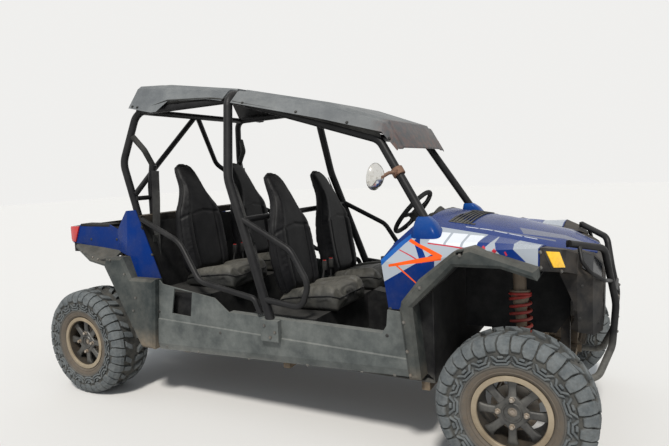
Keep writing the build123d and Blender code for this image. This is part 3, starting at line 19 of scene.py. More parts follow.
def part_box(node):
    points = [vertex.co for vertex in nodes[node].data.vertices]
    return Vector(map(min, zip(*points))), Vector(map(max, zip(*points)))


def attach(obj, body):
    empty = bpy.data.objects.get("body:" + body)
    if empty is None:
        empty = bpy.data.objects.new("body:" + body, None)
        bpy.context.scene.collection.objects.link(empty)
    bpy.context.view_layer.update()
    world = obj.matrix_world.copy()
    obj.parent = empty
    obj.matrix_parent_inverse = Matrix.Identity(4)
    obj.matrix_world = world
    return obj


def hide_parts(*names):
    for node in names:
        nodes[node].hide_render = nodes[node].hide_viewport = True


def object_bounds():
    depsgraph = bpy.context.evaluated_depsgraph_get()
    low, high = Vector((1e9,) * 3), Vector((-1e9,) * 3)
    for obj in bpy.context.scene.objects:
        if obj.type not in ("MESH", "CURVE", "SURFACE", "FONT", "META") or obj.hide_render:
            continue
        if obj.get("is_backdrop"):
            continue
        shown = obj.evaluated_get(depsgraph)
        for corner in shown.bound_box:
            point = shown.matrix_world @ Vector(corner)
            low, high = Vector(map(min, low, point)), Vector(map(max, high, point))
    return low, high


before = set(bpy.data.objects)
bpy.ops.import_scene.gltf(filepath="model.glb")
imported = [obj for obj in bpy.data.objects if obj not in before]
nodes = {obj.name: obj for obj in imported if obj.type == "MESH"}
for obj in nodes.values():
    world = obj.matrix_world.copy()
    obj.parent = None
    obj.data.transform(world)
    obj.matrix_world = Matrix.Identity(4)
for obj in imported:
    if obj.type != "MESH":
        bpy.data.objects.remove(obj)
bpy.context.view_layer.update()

# %% [markdown]
# ## The camera
#
# The photograph was taken from the right front corner, a little above seat height. A camera
# is a place, a direction and a lens. Here the direction is kept as yaw, pitch and roll, and
# the three axes of the camera are built from them, which avoids any guessing with targets.

# %% Camera
eye = Vector((1.68603, -2.97082, 1.36329))
yaw, pitch, roll = math.radians(28.124), math.radians(5.667), math.radians(-2.335)
ahead = Vector((-math.sin(yaw) * math.cos(pitch), math.cos(yaw) * math.cos(pitch), -math.sin(pitch)))
level = Vector((math.cos(yaw), math.sin(yaw), 0.0))
above = level.cross(ahead)
right = math.cos(roll) * level + math.sin(roll) * above
top = math.cos(roll) * above - math.sin(roll) * level
lens = bpy.data.cameras.new("camera")
lens.lens = 29.51
lens.sensor_width = 36.0
camera = bpy.data.objects.new("camera", lens)
bpy.context.scene.collection.objects.link(camera)
turn = Matrix((right, top, -ahead)).transposed().to_4x4()
camera.matrix_world = Matrix.Translation(eye) @ turn
bpy.context.scene.camera = camera
bpy.context.scene.view_settings.view_transform = "Standard"
print("camera at", [round(v, 3) for v in eye], "with a lens of", lens.lens, "mm")

# %% [markdown]
# ## Floor, sky and lamps
#
# The real buggy stands in bright sun. A studio version of that is one soft sun from the
# camera's side and a pale bluish sky that fills the shadows. The floor is a plain pale plane
# that keeps the shadow. Light Path splits the world in two: a nearly white backdrop for the
# camera and for what metal and glass mirror, and the dimmer sky for all other light. So the
# background can be pale without more light on the car.

# %% Floor
def new_object(name, mesh):
    """Link a mesh to the scene as an object at the origin."""
    made = bpy.data.objects.new(name, mesh)
    bpy.context.scene.collection.objects.link(made)
    return made


floor_reach = 30.0
floor_mesh = bpy.data.meshes.new("floor")
floor_corners = [(floor_reach * i, floor_reach * j, 0) for i, j in ((-1, -1), (1, -1), (1, 1), (-1, 1))]
floor_mesh.from_pydata(floor_corners, [], [(0, 1, 2, 3)])
floor = new_object("floor", floor_mesh)
floor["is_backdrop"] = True
floor_look = bpy.data.materials.new("pale floor")
floor_look.use_nodes = True
floor_shader = floor_look.node_tree.nodes["Principled BSDF"]
floor_shader.inputs["Base Color"].default_value = (0.68, 0.665, 0.645, 1)
floor_shader.inputs["Roughness"].default_value = 0.9
floor_mesh.materials.append(floor_look)
print("floor", 2 * floor_reach, "m across")

# %% Sky and backdrop
world = bpy.data.worlds.new("studio")
bpy.context.scene.world = world
world.use_nodes = True
sky = world.node_tree.nodes["Background"]
sky.inputs["Color"].default_value = (0.84, 0.92, 1.0, 1)
sky.inputs["Strength"].default_value = 0.56
backdrop = world.node_tree.nodes.new("ShaderNodeBackground")
backdrop.inputs["Color"].default_value = (0.87, 0.865, 0.85, 1)
rays = world.node_tree.nodes.new("ShaderNodeLightPath")
shown = world.node_tree.nodes.new("ShaderNodeMixShader")
seen_by = rays.outputs["Is Camera Ray"]
for kind in ("Is Glossy Ray", "Is Transmission Ray"):
    either = world.node_tree.nodes.new("ShaderNodeMath")
    either.operation = "MAXIMUM"
    world.node_tree.links.new(seen_by, either.inputs[0])
    world.node_tree.links.new(rays.outputs[kind], either.inputs[1])
    seen_by = either.outputs[0]
world.node_tree.links.new(seen_by, shown.inputs[0])
world.node_tree.links.new(sky.outputs[0], shown.inputs[1])
world.node_tree.links.new(backdrop.outputs[0], shown.inputs[2])
world.node_tree.links.new(shown.outputs[0], world.node_tree.nodes["World Output"].inputs["Surface"])

# %% Sun
sun_data = bpy.data.lights.new("sun", "SUN")
sun_data.energy = 3.1
sun_data.color = (1.0, 0.97, 0.92)
sun_data.angle = math.radians(9)
sun = bpy.data.objects.new("sun", sun_data)
bpy.context.scene.collection.objects.link(sun)
sun_from = Vector((0.25, -0.75, 1.15))
sun.rotation_euler = sun_from.to_track_quat("Z", "Y").to_euler()
print("sun", sun_data.energy, "and sky", sky.inputs["Strength"].default_value)

# %% [markdown]
# ## Finishes
#
# Every finish is a small tree of nodes that reads Object coordinates, so a pattern sits on
# the real metres of the car. Dust is the same idea everywhere: it settles on faces that look
# up, it thickens near the ground, and noise breaks it into patches. One function builds that,
# and a table lists what changes from finish to finish.

# %% Small tools for shader trees
def add(tree, kind, inputs=None, output=0, **settings):
    """Add a node, set or wire its inputs, and return one of its outputs."""
    node = tree.nodes.new("ShaderNode" + kind)
    for key, value in settings.items():
        setattr(node, key, value)
    for key, value in (inputs or {}).items():
        if isinstance(value, bpy.types.NodeSocket):
            tree.links.new(value, node.inputs[key])
        else:
            node.inputs[key].default_value = value
    return node.outputs[output]


def calc(tree, operation, a, b=0.0, c=0.0, clamp=False):
    """One step of arithmetic."""
    return add(tree, "Math", {0: a, 1: b, 2: c}, operation=operation, use_clamp=clamp)


def spread(tree, value, low, high, to_low=0.0, to_high=1.0):
    """Stretch a range of values onto another range, held at its ends."""
    return add(tree, "MapRange", {0: value, 1: low, 2: high, 3: to_low, 4: to_high})


def shade(colour):
    """A colour with its alpha."""
    return (*colour, 1.0)


def colour_mix(tree, factor, a, b):
    """A mix of two colours."""
    a = a if isinstance(a, bpy.types.NodeSocket) else shade(a)
    b = b if isinstance(b, bpy.types.NodeSocket) else shade(b)
    return add(tree, "Mix", {0: factor, 6: a, 7: b}, output=2, data_type="RGBA")


def grain(tree, place, scale, detail=5.0, roughness=0.6):
    """Soft noise at a scale, in cycles per metre."""
    return add(tree, "TexNoise", {"Vector": place, "Scale": scale, "Detail": detail, "Roughness": roughness})


# %% Start a finish, and wire its shader
def start_finish(name):
    """A new material with its shader, and the Object coordinates to paint with."""
    look = bpy.data.materials.new(name)
    look.use_nodes = True
    tree = look.node_tree
    shader = tree.nodes["Principled BSDF"]
    place = add(tree, "TexCoord", output=3)
    return look, tree, shader, place


def wire(tree, shader, **inputs):
    """Connect sockets, or set plain values, on the shader's named inputs."""
    names = {
        "colour": "Base Color", "roughness": "Roughness", "metal": "Metallic", "normal": "Normal",
        "coat": "Coat Weight", "coat_roughness": "Coat Roughness", "gloss": "Specular IOR Level",
    }
    for key, value in inputs.items():
        socket = shader.inputs[names[key]]
        if isinstance(value, bpy.types.NodeSocket):
            tree.links.new(value, socket)
        else:
            socket.default_value = shade(value) if key == "colour" else value


# %% Dust
def dust_mask(tree, place, upward, low_z, patch_scale, amount, low=0.75):
    """Where dust lies: on faces that look up, near the ground, and in patches."""
    facing = add(tree, "SeparateXYZ", {0: add(tree, "NewGeometry", output=1)}, output=2)
    height = add(tree, "SeparateXYZ", {0: place}, output=2)
    on_top = spread(tree, facing, 0.2, 0.95, 0.0, upward)
    near_ground = spread(tree, height, 0.28, low_z, low, 0.0)
    patches = spread(tree, grain(tree, place, patch_scale, 6.0, 0.65), 0.42, 0.70, 0.0, amount)
    total = calc(tree, "ADD", calc(tree, "ADD", on_top, near_ground), patches)
    broken = spread(tree, grain(tree, place, patch_scale * 9.0, 4.0, 0.7), 0.30, 0.72, 0.45, 1.0)
    return calc(tree, "MULTIPLY", total, broken, clamp=True)


dust_brown = (0.33, 0.25, 0.17)
dust_grey = (0.30, 0.29, 0.26)


# %% One finish for most parts, and the paint of the roof
def weathered(name, base, worn, dust, rough, grain_scale, depth, metal=0.0, coat=0.0, upward=0.35,
              low_z=0.55, amount=0.45, patch=3.5, low=0.75, gloss=0.34, paint=None):
    """A finish with mottled colour, dust and a fine grain; paint may change the colour."""
    look, tree, shader, place = start_finish(name)
    mottle = spread(tree, grain(tree, place, 7.0, 7.0, 0.7), 0.35, 0.68)
    colour = colour_mix(tree, mottle, base, worn)
    if paint is not None:
        colour = paint(tree, place, colour)
    mask = dust_mask(tree, place, upward, low_z, patch, amount, low)
    colour = colour_mix(tree, mask, colour, dust)
    fine = grain(tree, place, grain_scale, 3.0, 0.6)
    uneven = spread(tree, fine, 0.3, 0.7, rough - 0.07, rough + 0.07)
    roughness = calc(tree, "ADD", uneven, calc(tree, "MULTIPLY", mask, 0.95 - rough), clamp=True)
    bump = add(tree, "Bump", {"Strength": 0.35, "Distance": depth, "Height": fine})
    wire(tree, shader, colour=colour, roughness=roughness, normal=bump, metal=metal, coat=coat, gloss=gloss)
    return look


def roof_streaks_and_painted_shade(tree, place, colour):
    """Faces that look down are painted near-black as shade under the roof, and its front brow is dark with
    rusty streaks.
    """
    along = add(tree, "SeparateXYZ", {0: place}, output=0)
    brow = spread(tree, along, 0.54, 0.66)
    streaks = spread(tree, grain(tree, place, 26.0, 5.0, 0.7), 0.42, 0.62)
    brow_colour = colour_mix(tree, streaks, (0.030, 0.031, 0.034), (0.110, 0.052, 0.040))
    colour = colour_mix(tree, calc(tree, "MULTIPLY", brow, 0.85), colour, brow_colour)
    # Painted shade: faces that look down turn near-black
    facing = add(tree, "SeparateXYZ", {0: add(tree, "NewGeometry", output=1)}, output=2)
    return colour_mix(tree, calc(tree, "LESS_THAN", facing, -0.05), colour, (0.006, 0.006, 0.007))


# %% The finishes that only differ in numbers
# Name: base, worn, dust, roughness, grain scale, grain depth, then what else differs
finish_table = {
    "black powder coat": ((0.005, 0.005, 0.006), (0.012, 0.012, 0.013), dust_grey, 0.46, 260, 0.0006,
                          dict(gloss=0.22, upward=0.03, amount=0.04)),
    "chassis black": ((0.012, 0.012, 0.013), (0.035, 0.032, 0.028), dust_brown, 0.60, 220, 0.0008,
                      dict(gloss=0.15, upward=0.25, amount=0.22, low_z=0.45)),
    "faded grey plastic": ((0.026, 0.032, 0.032), (0.072, 0.080, 0.077), dust_brown, 0.62, 420, 0.0006,
                           dict(gloss=0.19, upward=0.14, amount=0.10, low_z=0.46)),
    "sill plastic": ((0.052, 0.059, 0.058), (0.120, 0.130, 0.124), dust_grey, 0.60, 420, 0.0006,
                     dict(upward=0.30, amount=0.14, low_z=0.38)),
    "nose plastic": ((0.009, 0.009, 0.010), (0.034, 0.032, 0.030), dust_brown, 0.52, 380, 0.0006,
                     dict(gloss=0.15, upward=0.06, amount=0.12, low_z=0.50)),
    "tub plastic": ((0.008, 0.008, 0.009), (0.022, 0.022, 0.022), dust_grey, 0.66, 520, 0.0010,
                    dict(gloss=0.15, upward=0.10, amount=0.07, low_z=0.40)),
    "roof plastic": ((0.085, 0.093, 0.100), (0.150, 0.160, 0.166), dust_grey, 0.55, 300, 0.0005,
                     dict(upward=0.12, amount=0.20, low_z=0.30, paint=roof_streaks_and_painted_shade)),
    "cast metal": ((0.070, 0.066, 0.060), (0.140, 0.125, 0.105), dust_brown, 0.60, 180, 0.0012,
                   dict(metal=0.55, amount=0.60, low_z=0.8)),
    "engine metal": ((0.10, 0.10, 0.10), (0.20, 0.195, 0.185), dust_brown, 0.50, 160, 0.0012,
                     dict(metal=0.7, amount=0.45)),
    "spring red": ((0.300, 0.022, 0.018), (0.190, 0.028, 0.022), dust_brown, 0.45, 200, 0.0005,
                   dict(amount=0.12, upward=0.08, low_z=0.5)),
    "zinc bolt": ((0.090, 0.090, 0.088), (0.200, 0.195, 0.185), dust_brown, 0.40, 240, 0.0004,
                  dict(metal=0.8, amount=0.10)),
    "damper brown": ((0.120, 0.095, 0.070), (0.200, 0.150, 0.105), dust_brown, 0.60, 200, 0.0008,
                     dict(metal=0.3, amount=0.6, low_z=0.7)),
    "bare steel": ((0.30, 0.295, 0.285), (0.46, 0.45, 0.43), dust_brown, 0.38, 240, 0.0004,
                   dict(metal=0.9, amount=0.30)),
    "dash plastic": ((0.007, 0.007, 0.008), (0.020, 0.020, 0.020), dust_grey, 0.60, 420, 0.0008,
                     dict(gloss=0.15, upward=0.10, amount=0.08, low_z=0.30)),
    "soft black rubber": ((0.016, 0.016, 0.016), (0.036, 0.036, 0.035), dust_grey, 0.75, 300, 0.0008,
                          dict(gloss=0.15, amount=0.25, upward=0.15)),
    # Near-black, painted shade for the inside of slots and open tubes
    "black hole": ((0.002, 0.002, 0.002), (0.003, 0.003, 0.003), dust_grey, 0.9, 200, 0.0003,
                   dict(amount=0.0, upward=0.0, low_z=0.30)),
    "rusty clamp": ((0.120, 0.060, 0.040), (0.220, 0.115, 0.075), dust_brown, 0.70, 160, 0.0010,
                    dict(metal=0.3, amount=0.4)),
    "dusty rim lip": ((0.230, 0.180, 0.120), (0.360, 0.300, 0.215), dust_brown, 0.55, 200, 0.0006,
                      dict(metal=0.25, amount=0.2, low_z=0.30, upward=0.0, low=0.0)),
    "dark spoke alloy": ((0.036, 0.036, 0.036), (0.115, 0.112, 0.105), dust_grey, 0.42, 200, 0.0006,
                         dict(metal=0.5, amount=0.35, low_z=0.30, upward=0.05, low=0.0, patch=9.0)),
    # Nearly black: painted shade for the barrel's hollow inside, with a little dust
    "rim barrel dust": ((0.018, 0.016, 0.014), (0.060, 0.050, 0.038), dust_brown, 0.60, 200, 0.0006,
                        dict(metal=0.3, amount=0.14, low_z=0.30, upward=0.0, low=0.0)),
    "black vinyl": ((0.005, 0.005, 0.006), (0.014, 0.014, 0.015), dust_grey, 0.50, 650, 0.0009,
                    dict(gloss=0.15, amount=0.02, upward=0.03, low_z=0.30)),
    "cushion vinyl": ((0.020, 0.020, 0.020), (0.050, 0.050, 0.046), (0.27, 0.25, 0.20), 0.50, 650, 0.0009,
                      dict(amount=0.22, upward=0.24, low_z=0.30, patch=6.0)),
    "webbing black": ((0.014, 0.014, 0.015), (0.030, 0.030, 0.030), dust_grey, 0.80, 900, 0.0010,
                      dict(amount=0.20, upward=0.10, low_z=0.30)),
}
finishes = {}
for name, (base, worn, dust, rough, scale, depth, more) in finish_table.items():
    finishes[name] = weathered(name, base, worn, dust, rough, scale, depth, **more)
print("finishes", len(finishes))

# %% [markdown]
# ## Blue panels and their stripes
#
# The blue mouldings are coloured right through, with a dull shine. The stripes on the front
# side panel and the hood are printed film: each one is a slanted bar with two ends. In the
# shader a bar is two dot products: how far along the bar a point lies, and how far beside it.
# Both are cut off at the bar's ends and edges, so the print stays sharp at any distance.

# %% Bars of printed film
def bar(tree, along_x, height, start, end, wide_start, wide_end=None):
    """A mask that is 1 inside a straight bar on the car's side, from start to end (x, z)."""
    wide_end = wide_start if wide_end is None else wide_end
    run = Vector((end[0] - start[0], end[1] - start[1]))
    unit = run.normalized()
    share_x = calc(tree, "MULTIPLY", along_x, unit.x / run.length)
    share = calc(tree, "MULTIPLY_ADD", height, unit.y / run.length, share_x)
    share = calc(tree, "SUBTRACT", share, (start[0] * unit.x + start[1] * unit.y) / run.length)
    beside_x = calc(tree, "MULTIPLY", along_x, -unit.y)
    beside = calc(tree, "MULTIPLY_ADD", height, unit.x, beside_x)
    beside = calc(tree, "SUBTRACT", beside, start[1] * unit.x - start[0] * unit.y)
    width = calc(tree, "MULTIPLY_ADD", share, (wide_end - wide_start) / 2, wide_start / 2)
    inside = calc(tree, "COMPARE", share, 0.5, 0.5)
    near = calc(tree, "LESS_THAN", calc(tree, "ABSOLUTE", beside), width)
    return calc(tree, "MULTIPLY", inside, near)


def below(tree, along_x, height, a, b):
    """A mask that is 1 under the straight line from a to b (x, z)."""
    slope = (b[1] - a[1]) / (b[0] - a[0])
    line = calc(tree, "MULTIPLY_ADD", along_x, slope, a[1] - slope * a[0])
    return calc(tree, "LESS_THAN", height, line)


# %% Blue plastic, and the colours of the film
royal_blue = (0.001, 0.026, 0.165)
deep_blue = (0.001, 0.014, 0.095)
edge_blue = (0.006, 0.090, 0.340)
silver_film = (0.350, 0.380, 0.420)
grey_film = (0.140, 0.150, 0.200)
orange_film = (0.760, 0.095, 0.010)
red_film = (0.480, 0.030, 0.050)
white_film = (0.700, 0.720, 0.760)


def blue_plastic(name, paint):
    """Blue plastic with a dull shine; paint may lay film over it, and returns the colour."""
    look, tree, shader, place = start_finish(name)
    cloud = spread(tree, grain(tree, place, 2.5, 4.0), 0.35, 0.7)
    colour = colour_mix(tree, cloud, royal_blue, deep_blue)
    if paint is not None:
        along_x = add(tree, "SeparateXYZ", {0: place}, output=0)
        across = add(tree, "SeparateXYZ", {0: place}, output=1)
        height = add(tree, "SeparateXYZ", {0: place}, output=2)
        colour = paint(tree, colour, along_x, across, height)
    mask = dust_mask(tree, place, 0.015, 0.45, 5.0, 0.08)
    colour = colour_mix(tree, mask, colour, dust_grey)
    fine = grain(tree, place, 90.0, 4.0)
    dulled = calc(tree, "MULTIPLY", mask, 0.5)
    roughness = calc(tree, "ADD", spread(tree, fine, 0.3, 0.7, 0.16, 0.30), dulled)
    ripple = grain(tree, place, 30.0, 2.0)
    bump = add(tree, "Bump", {"Strength": 0.06, "Distance": 0.0006, "Height": ripple})
    wire(tree, shader, colour=colour, roughness=roughness, normal=bump, gloss=0.05,
         coat=0.015, coat_roughness=0.10)
    return look


# %% Film on the front side panel
def side_print(tree, colour, along_x, across, height):
    """The film on the front side panel: a silver field with blue, orange and red bars."""
    field = calc(tree, "SUBTRACT", 1.0, below(tree, along_x, height, (0.689, 0.828), (0.820, 0.905)))
    field = calc(tree, "MAXIMUM", field, calc(tree, "GREATER_THAN", along_x, 0.930))
    under_top = below(tree, along_x, height, (0.890, 1.073), (1.363, 1.003))
    behind = below(tree, along_x, height, (0.672, 0.925), (0.842, 1.060))
    field = calc(tree, "MULTIPLY", calc(tree, "MULTIPLY", field, under_top), behind)
    field = calc(tree, "MULTIPLY", field, calc(tree, "LESS_THAN", along_x, 1.366))
    colour = colour_mix(tree, field, colour, silver_film)
    # Start and end (x, z), width at the start and at the end, and the film
    bars = [
        ((0.660, 0.905), (0.852, 1.096), 0.022, 0.022, edge_blue),
        ((0.835, 1.060), (0.905, 1.022), 0.034, 0.034, royal_blue),
        ((0.816, 1.020), (0.885, 0.915), 0.022, 0.034, royal_blue),
        ((1.160, 1.040), (1.090, 0.965), 0.040, 0.040, royal_blue),
        ((1.185, 1.040), (1.300, 0.925), 0.052, 0.052, royal_blue),
        ((0.880, 1.026), (0.956, 1.020), 0.038, 0.038, white_film),
        ((0.968, 1.019), (1.036, 1.014), 0.038, 0.038, white_film),
        ((1.048, 1.013), (1.110, 1.008), 0.036, 0.036, white_film),
        ((0.880, 1.003), (1.110, 0.986), 0.005, 0.005, red_film),
        ((1.135, 0.998), (1.150, 0.990), 0.012, 0.012, red_film),
        ((1.185, 0.990), (1.200, 0.982), 0.012, 0.012, red_film),
        ((1.235, 0.984), (1.243, 0.968), 0.007, 0.007, red_film),
        ((0.745, 0.972), (0.870, 0.922), 0.004, 0.006, red_film),
        ((0.705, 0.900), (0.960, 0.950), 0.012, 0.024, orange_film),
        ((0.784, 1.013), (0.962, 0.948), 0.010, 0.020, orange_film),
        ((0.742, 0.905), (0.842, 0.828), 0.008, 0.006, orange_film),
    ]
    for start, end, wide_start, wide_end, film in bars:
        mask = bar(tree, along_x, height, start, end, wide_start, wide_end)
        colour = colour_mix(tree, mask, colour, film)
    return colour


# %% Film on the hood, and the three blue finishes
def hood_print(tree, colour, along_x, across, height):
    """A grey pane and line near the nose and a dashed pale stripe, on each half of the hood."""
    aside = calc(tree, "ABSOLUTE", across)
    pane = bar(tree, along_x, aside, (1.240, 0.215), (1.520, 0.120), 0.110, 0.060)
    colour = colour_mix(tree, pane, colour, grey_film)
    line = bar(tree, along_x, aside, (1.050, 0.330), (1.400, 0.262), 0.010, 0.022)
    colour = colour_mix(tree, line, colour, grey_film)
    stripe = bar(tree, along_x, aside, (1.000, 0.335), (1.330, 0.300), 0.007)
    dashes_per_metre, dash_share = 15.0, 0.86
    step = calc(tree, "FRACT", calc(tree, "MULTIPLY", along_x, dashes_per_metre))
    dashes = calc(tree, "LESS_THAN", step, dash_share)
    return colour_mix(tree, calc(tree, "MULTIPLY", stripe, dashes), colour, white_film)


blue_hood = blue_plastic("blue hood", hood_print)
blue_side = blue_plastic("blue side film", side_print)
blue_plain = blue_plastic("blue plastic", None)
print("blue finishes", [look.name for look in (blue_hood, blue_side, blue_plain)])

# %% [markdown]
# ## Lenses and the mirror's steel
#
# Lenses are coloured plastic with fine prisms under a coat. The headlamps are seen against
# their dark insides, so their lens is nearly black and only shines. The mirror's head is
# pressed steel, bright and a little rippled, with specks of rust.

# %% Lenses
def lens_finish(name, colour, roughness, coat=0.6):
    """Moulded lens plastic with fine prisms."""
    look, tree, shader, place = start_finish(name)
    haze = spread(tree, grain(tree, place, 60.0, 4.0), 0.3, 0.75, 0.85, 1.15)
    tint = add(tree, "Mix", {0: 1.0, 6: shade(colour), 7: haze}, output=2,
               data_type="RGBA", blend_type="MULTIPLY")
    prisms = add(tree, "TexVoronoi", {"Vector": place, "Scale": 160.0})
    bump = add(tree, "Bump", {"Strength": 0.3, "Distance": 0.0006, "Height": prisms})
    wire(tree, shader, colour=tint, roughness=roughness, normal=bump, coat=coat, coat_roughness=0.05)
    return look


red_lens = lens_finish("red lens", (0.48, 0.012, 0.010), 0.25)
amber_lens = lens_finish("amber reflector", (0.92, 0.52, 0.01), 0.25)
dark_lens = lens_finish("dark lamp lens", (0.010, 0.011, 0.013), 0.22, 0.15)

# %% Mirror steel
look, tree, shader, place = start_finish("pressed mirror steel")
ripple = grain(tree, place, 18.0, 3.0)
bump = add(tree, "Bump", {"Strength": 0.05, "Distance": 0.002, "Height": ripple})
speck = spread(tree, grain(tree, place, 60.0, 5.0), 0.52, 0.80)
wire(tree, shader, colour=colour_mix(tree, speck, (0.72, 0.71, 0.68), (0.38, 0.34, 0.28)),
     roughness=spread(tree, speck, 0.0, 1.0, 0.16, 0.45), normal=bump, metal=0.95)
mirror_steel = look

# %% Give the CAD nodes their finishes
node_finish = {
    "chassis_frame": "chassis black", "skid_plate": "nose plastic", "floor_tub": "tub plastic",
    "sills": "sill plastic", "cage_sides": "black powder coat", "cage_hoop": "black powder coat",
    "cage_bars": "black powder coat", "hip_bars": "black powder coat", "roof_rear": "roof plastic",
    "roof_front": "roof plastic", "front_flares": "faded grey plastic", "rear_flares": "faded grey plastic",
    "cargo_bed": "tub plastic", "front_fascia": "nose plastic", "lamp_pods": "nose plastic",
    "front_bumper": "black powder coat", "dashboard": "tub plastic", "steering_column": "bare steel",
    "console": "tub plastic", "controls": "soft black rubber", "belt_guides": "soft black rubber",
    "engine_block": "engine metal", "front_drive": "cast metal", "rear_drive": "cast metal",
    "muffler": "bare steel", "radiator": "engine metal", "front_arms": "chassis black",
    "rear_arms": "chassis black", "shocks": "damper brown", "knuckle_right": "cast metal",
    "knuckle_left": "cast metal", "rear_carriers": "cast metal", "rack_housing": "cast metal",
    "rack_bar": "bare steel", "tie_rod_right": "bare steel", "tie_rod_left": "bare steel",
    "arch_liners": "tub plastic", "springs": "spring red", "steering_wheel": "soft black rubber",
    "tow_receiver": "black powder coat", "seat_cushions": "black vinyl", "seat_backs": "black vinyl",
}
for corner in ("front_left", "front_right", "rear_left", "rear_right"):
    node_finish["tyre_" + corner] = "soft black rubber"
    node_finish["rim_" + corner] = "dark spoke alloy"


def dress(node, look):
    """Put one finish on every face of a CAD node."""
    mesh = nodes[node].data
    mesh.materials.clear()
    mesh.materials.append(look)


for node, name in node_finish.items():
    dress(node, finishes[name])
special_finish = {
    "hood": blue_hood, "front_side_panels": blue_side, "rear_side_panels": blue_plain,
    "tail_lamps": red_lens, "headlamps": dark_lens, "mirror": mirror_steel,
}
for node, look in special_finish.items():
    dress(node, look)
print("dressed", len(node_finish) + len(special_finish), "of", len(nodes))

# %% [markdown]
# ## Tools for making pieces
#
# A few helpers cover most pieces: a skin over rings of points, an outline turned about an
# axis, and three Geometry Nodes trees. The first tree repeats a piece round an axle, the second
# bends a tube along a path, and the third puts a fastener on each of many spots. Each result
# becomes a plain mesh before it rides on a body of the frame.

# %% Points, faces and meshes
def make_mesh(name, points, faces, look, smooth=True):
    """A mesh object from points and faces, with its doubles merged and its faces outward."""
    mesh = bpy.data.meshes.new(name)
    mesh.from_pydata([tuple(p) for p in points], [], faces)
    work = bmesh.new()
    work.from_mesh(mesh)
    bmesh.ops.remove_doubles(work, verts=work.verts, dist=1e-6)
    bmesh.ops.recalc_face_normals(work, faces=work.faces)
    work.to_mesh(mesh)
    work.free()
    mesh.materials.append(look)
    for polygon in mesh.polygons:
        polygon.use_smooth = smooth
    return new_object(name, mesh)


def skin(rows):
    """Points and faces of a skin over rings of points, with a cap on the first and the last."""
    count = len(rows[0])
    points = [p for row in rows for p in row]
    faces = []
    for r in range(len(rows) - 1):
        for i in range(count):
            j = (i + 1) % count
            faces.append((r * count + i, r * count + j, (r + 1) * count + j, (r + 1) * count + i))
    faces.append(tuple(range(count - 1, -1, -1)))
    faces.append(tuple((len(rows) - 1) * count + i for i in range(count)))
    return points, faces


def turned(profile, segments):
    """Points and faces of a ring turned about the Y axis, from its closed outline (radius, y)."""
    rows = []
    for k in range(segments):
        angle = 2 * math.pi * k / segments
        rows.append([(r * math.sin(angle), y, r * math.cos(angle)) for r, y in profile])
    count = len(profile)
    points = [p for row in rows for p in row]
    faces = []
    for k in range(segments):
        following = (k + 1) % segments
        for i in range(count):
            j = (i + 1) % count
            faces.append((k * count + i, k * count + j, following * count + j, following * count + i))
    return points, faces


# %% Edges and modifiers
def sharpen(piece, degrees=35.0):
    """Keep the edges sharp that turn by more than an angle."""
    piece.data.set_sharp_from_angle(angle=math.radians(degrees))
    return piece


def plain(piece):
    """Apply every modifier and leave a plain mesh."""
    bpy.context.view_layer.update()
    graph = bpy.context.evaluated_depsgraph_get()
    mesh = bpy.data.meshes.new_from_object(piece.evaluated_get(graph))
    if piece.type == "MESH":
        piece.modifiers.clear()
        piece.data = mesh
        return piece
    made = new_object(piece.name + "_mesh", mesh)
    bpy.data.objects.remove(piece)
    return made


def rounded(piece, width, segments=2, angle=30.0):
    """A small bevel on the edges that turn by more than an angle, left as a plain mesh."""
    edge = piece.modifiers.new("edge", "BEVEL")
    edge.width = width
    edge.segments = segments
    edge.limit_method = "ANGLE"
    edge.angle_limit = math.radians(angle)
    return plain(piece)


# %% Join, copy and place
def join(name, pieces):
    """Join several mesh objects into one, with its materials kept."""
    work = bmesh.new()
    looks = []
    for piece in pieces:
        offset = len(looks)
        looks += list(piece.data.materials)
        part = bmesh.new()
        part.from_mesh(piece.data)
        for face in part.faces:
            face.material_index += offset
        scratch = bpy.data.meshes.new("scratch")
        part.to_mesh(scratch)
        part.free()
        work.from_mesh(scratch)
        bpy.data.meshes.remove(scratch)
    mesh = bpy.data.meshes.new(name)
    work.to_mesh(mesh)
    work.free()
    unique = []
    for look in looks:
        if look not in unique:
            unique.append(look)
    index = [unique.index(look) for look in looks]
    for look in unique:
        mesh.materials.append(look)
    for polygon in mesh.polygons:
        polygon.material_index = index[polygon.material_index]
    for piece in pieces:
        bpy.data.objects.remove(piece)
    return new_object(name, mesh)


def copy_at(name, piece, move, half_turn=False):
    """A copy with its own mesh, turned half round the Z axis if asked, then moved."""
    mesh = piece.data.copy()
    if half_turn:
        mesh.transform(Matrix.Rotation(math.pi, 4, "Z"))
    mesh.transform(Matrix.Translation(Vector(move)))
    return new_object(name, mesh)


def mirror_copy(name, piece):
    """The same piece on the other side of the car, with its faces outward again."""
    mesh = piece.data.copy()
    mesh.transform(Matrix.Scale(-1, 4, Vector((0, 1, 0))))
    mesh.flip_normals()
    return new_object(name, mesh)


def lay(piece, centre, way):
    """Turn a piece whose axis is Z to another way, and move it there."""
    piece.data.transform(Matrix.Translation(centre) @ way.to_track_quat("Z", "Y").to_matrix().to_4x4())
    return piece


# %% Turned pieces and boxes
def turned_piece(name, profile, segments, look):
    """A piece turned about the Y axis, with its edges kept sharp."""
    points, faces = turned(profile, segments)
    return sharpen(make_mesh(name, points, faces, look), 30.0)


def block_mesh(name, low, high, look, bevel=0.0):
    """A box between two corners with rounded edges."""
    xs, ys, zs = zip(low, high)
    points = [(x, y, z) for x in xs for y in ys for z in zs]
    faces = [(0, 1, 3, 2), (4, 6, 7, 5), (0, 4, 5, 1), (2, 3, 7, 6), (0, 2, 6, 4), (1, 5, 7, 3)]
    made = make_mesh(name, points, faces, look)
    if bevel:
        made = rounded(made, bevel)
        for polygon in made.data.polygons:
            polygon.use_smooth = True
    return sharpen(made)


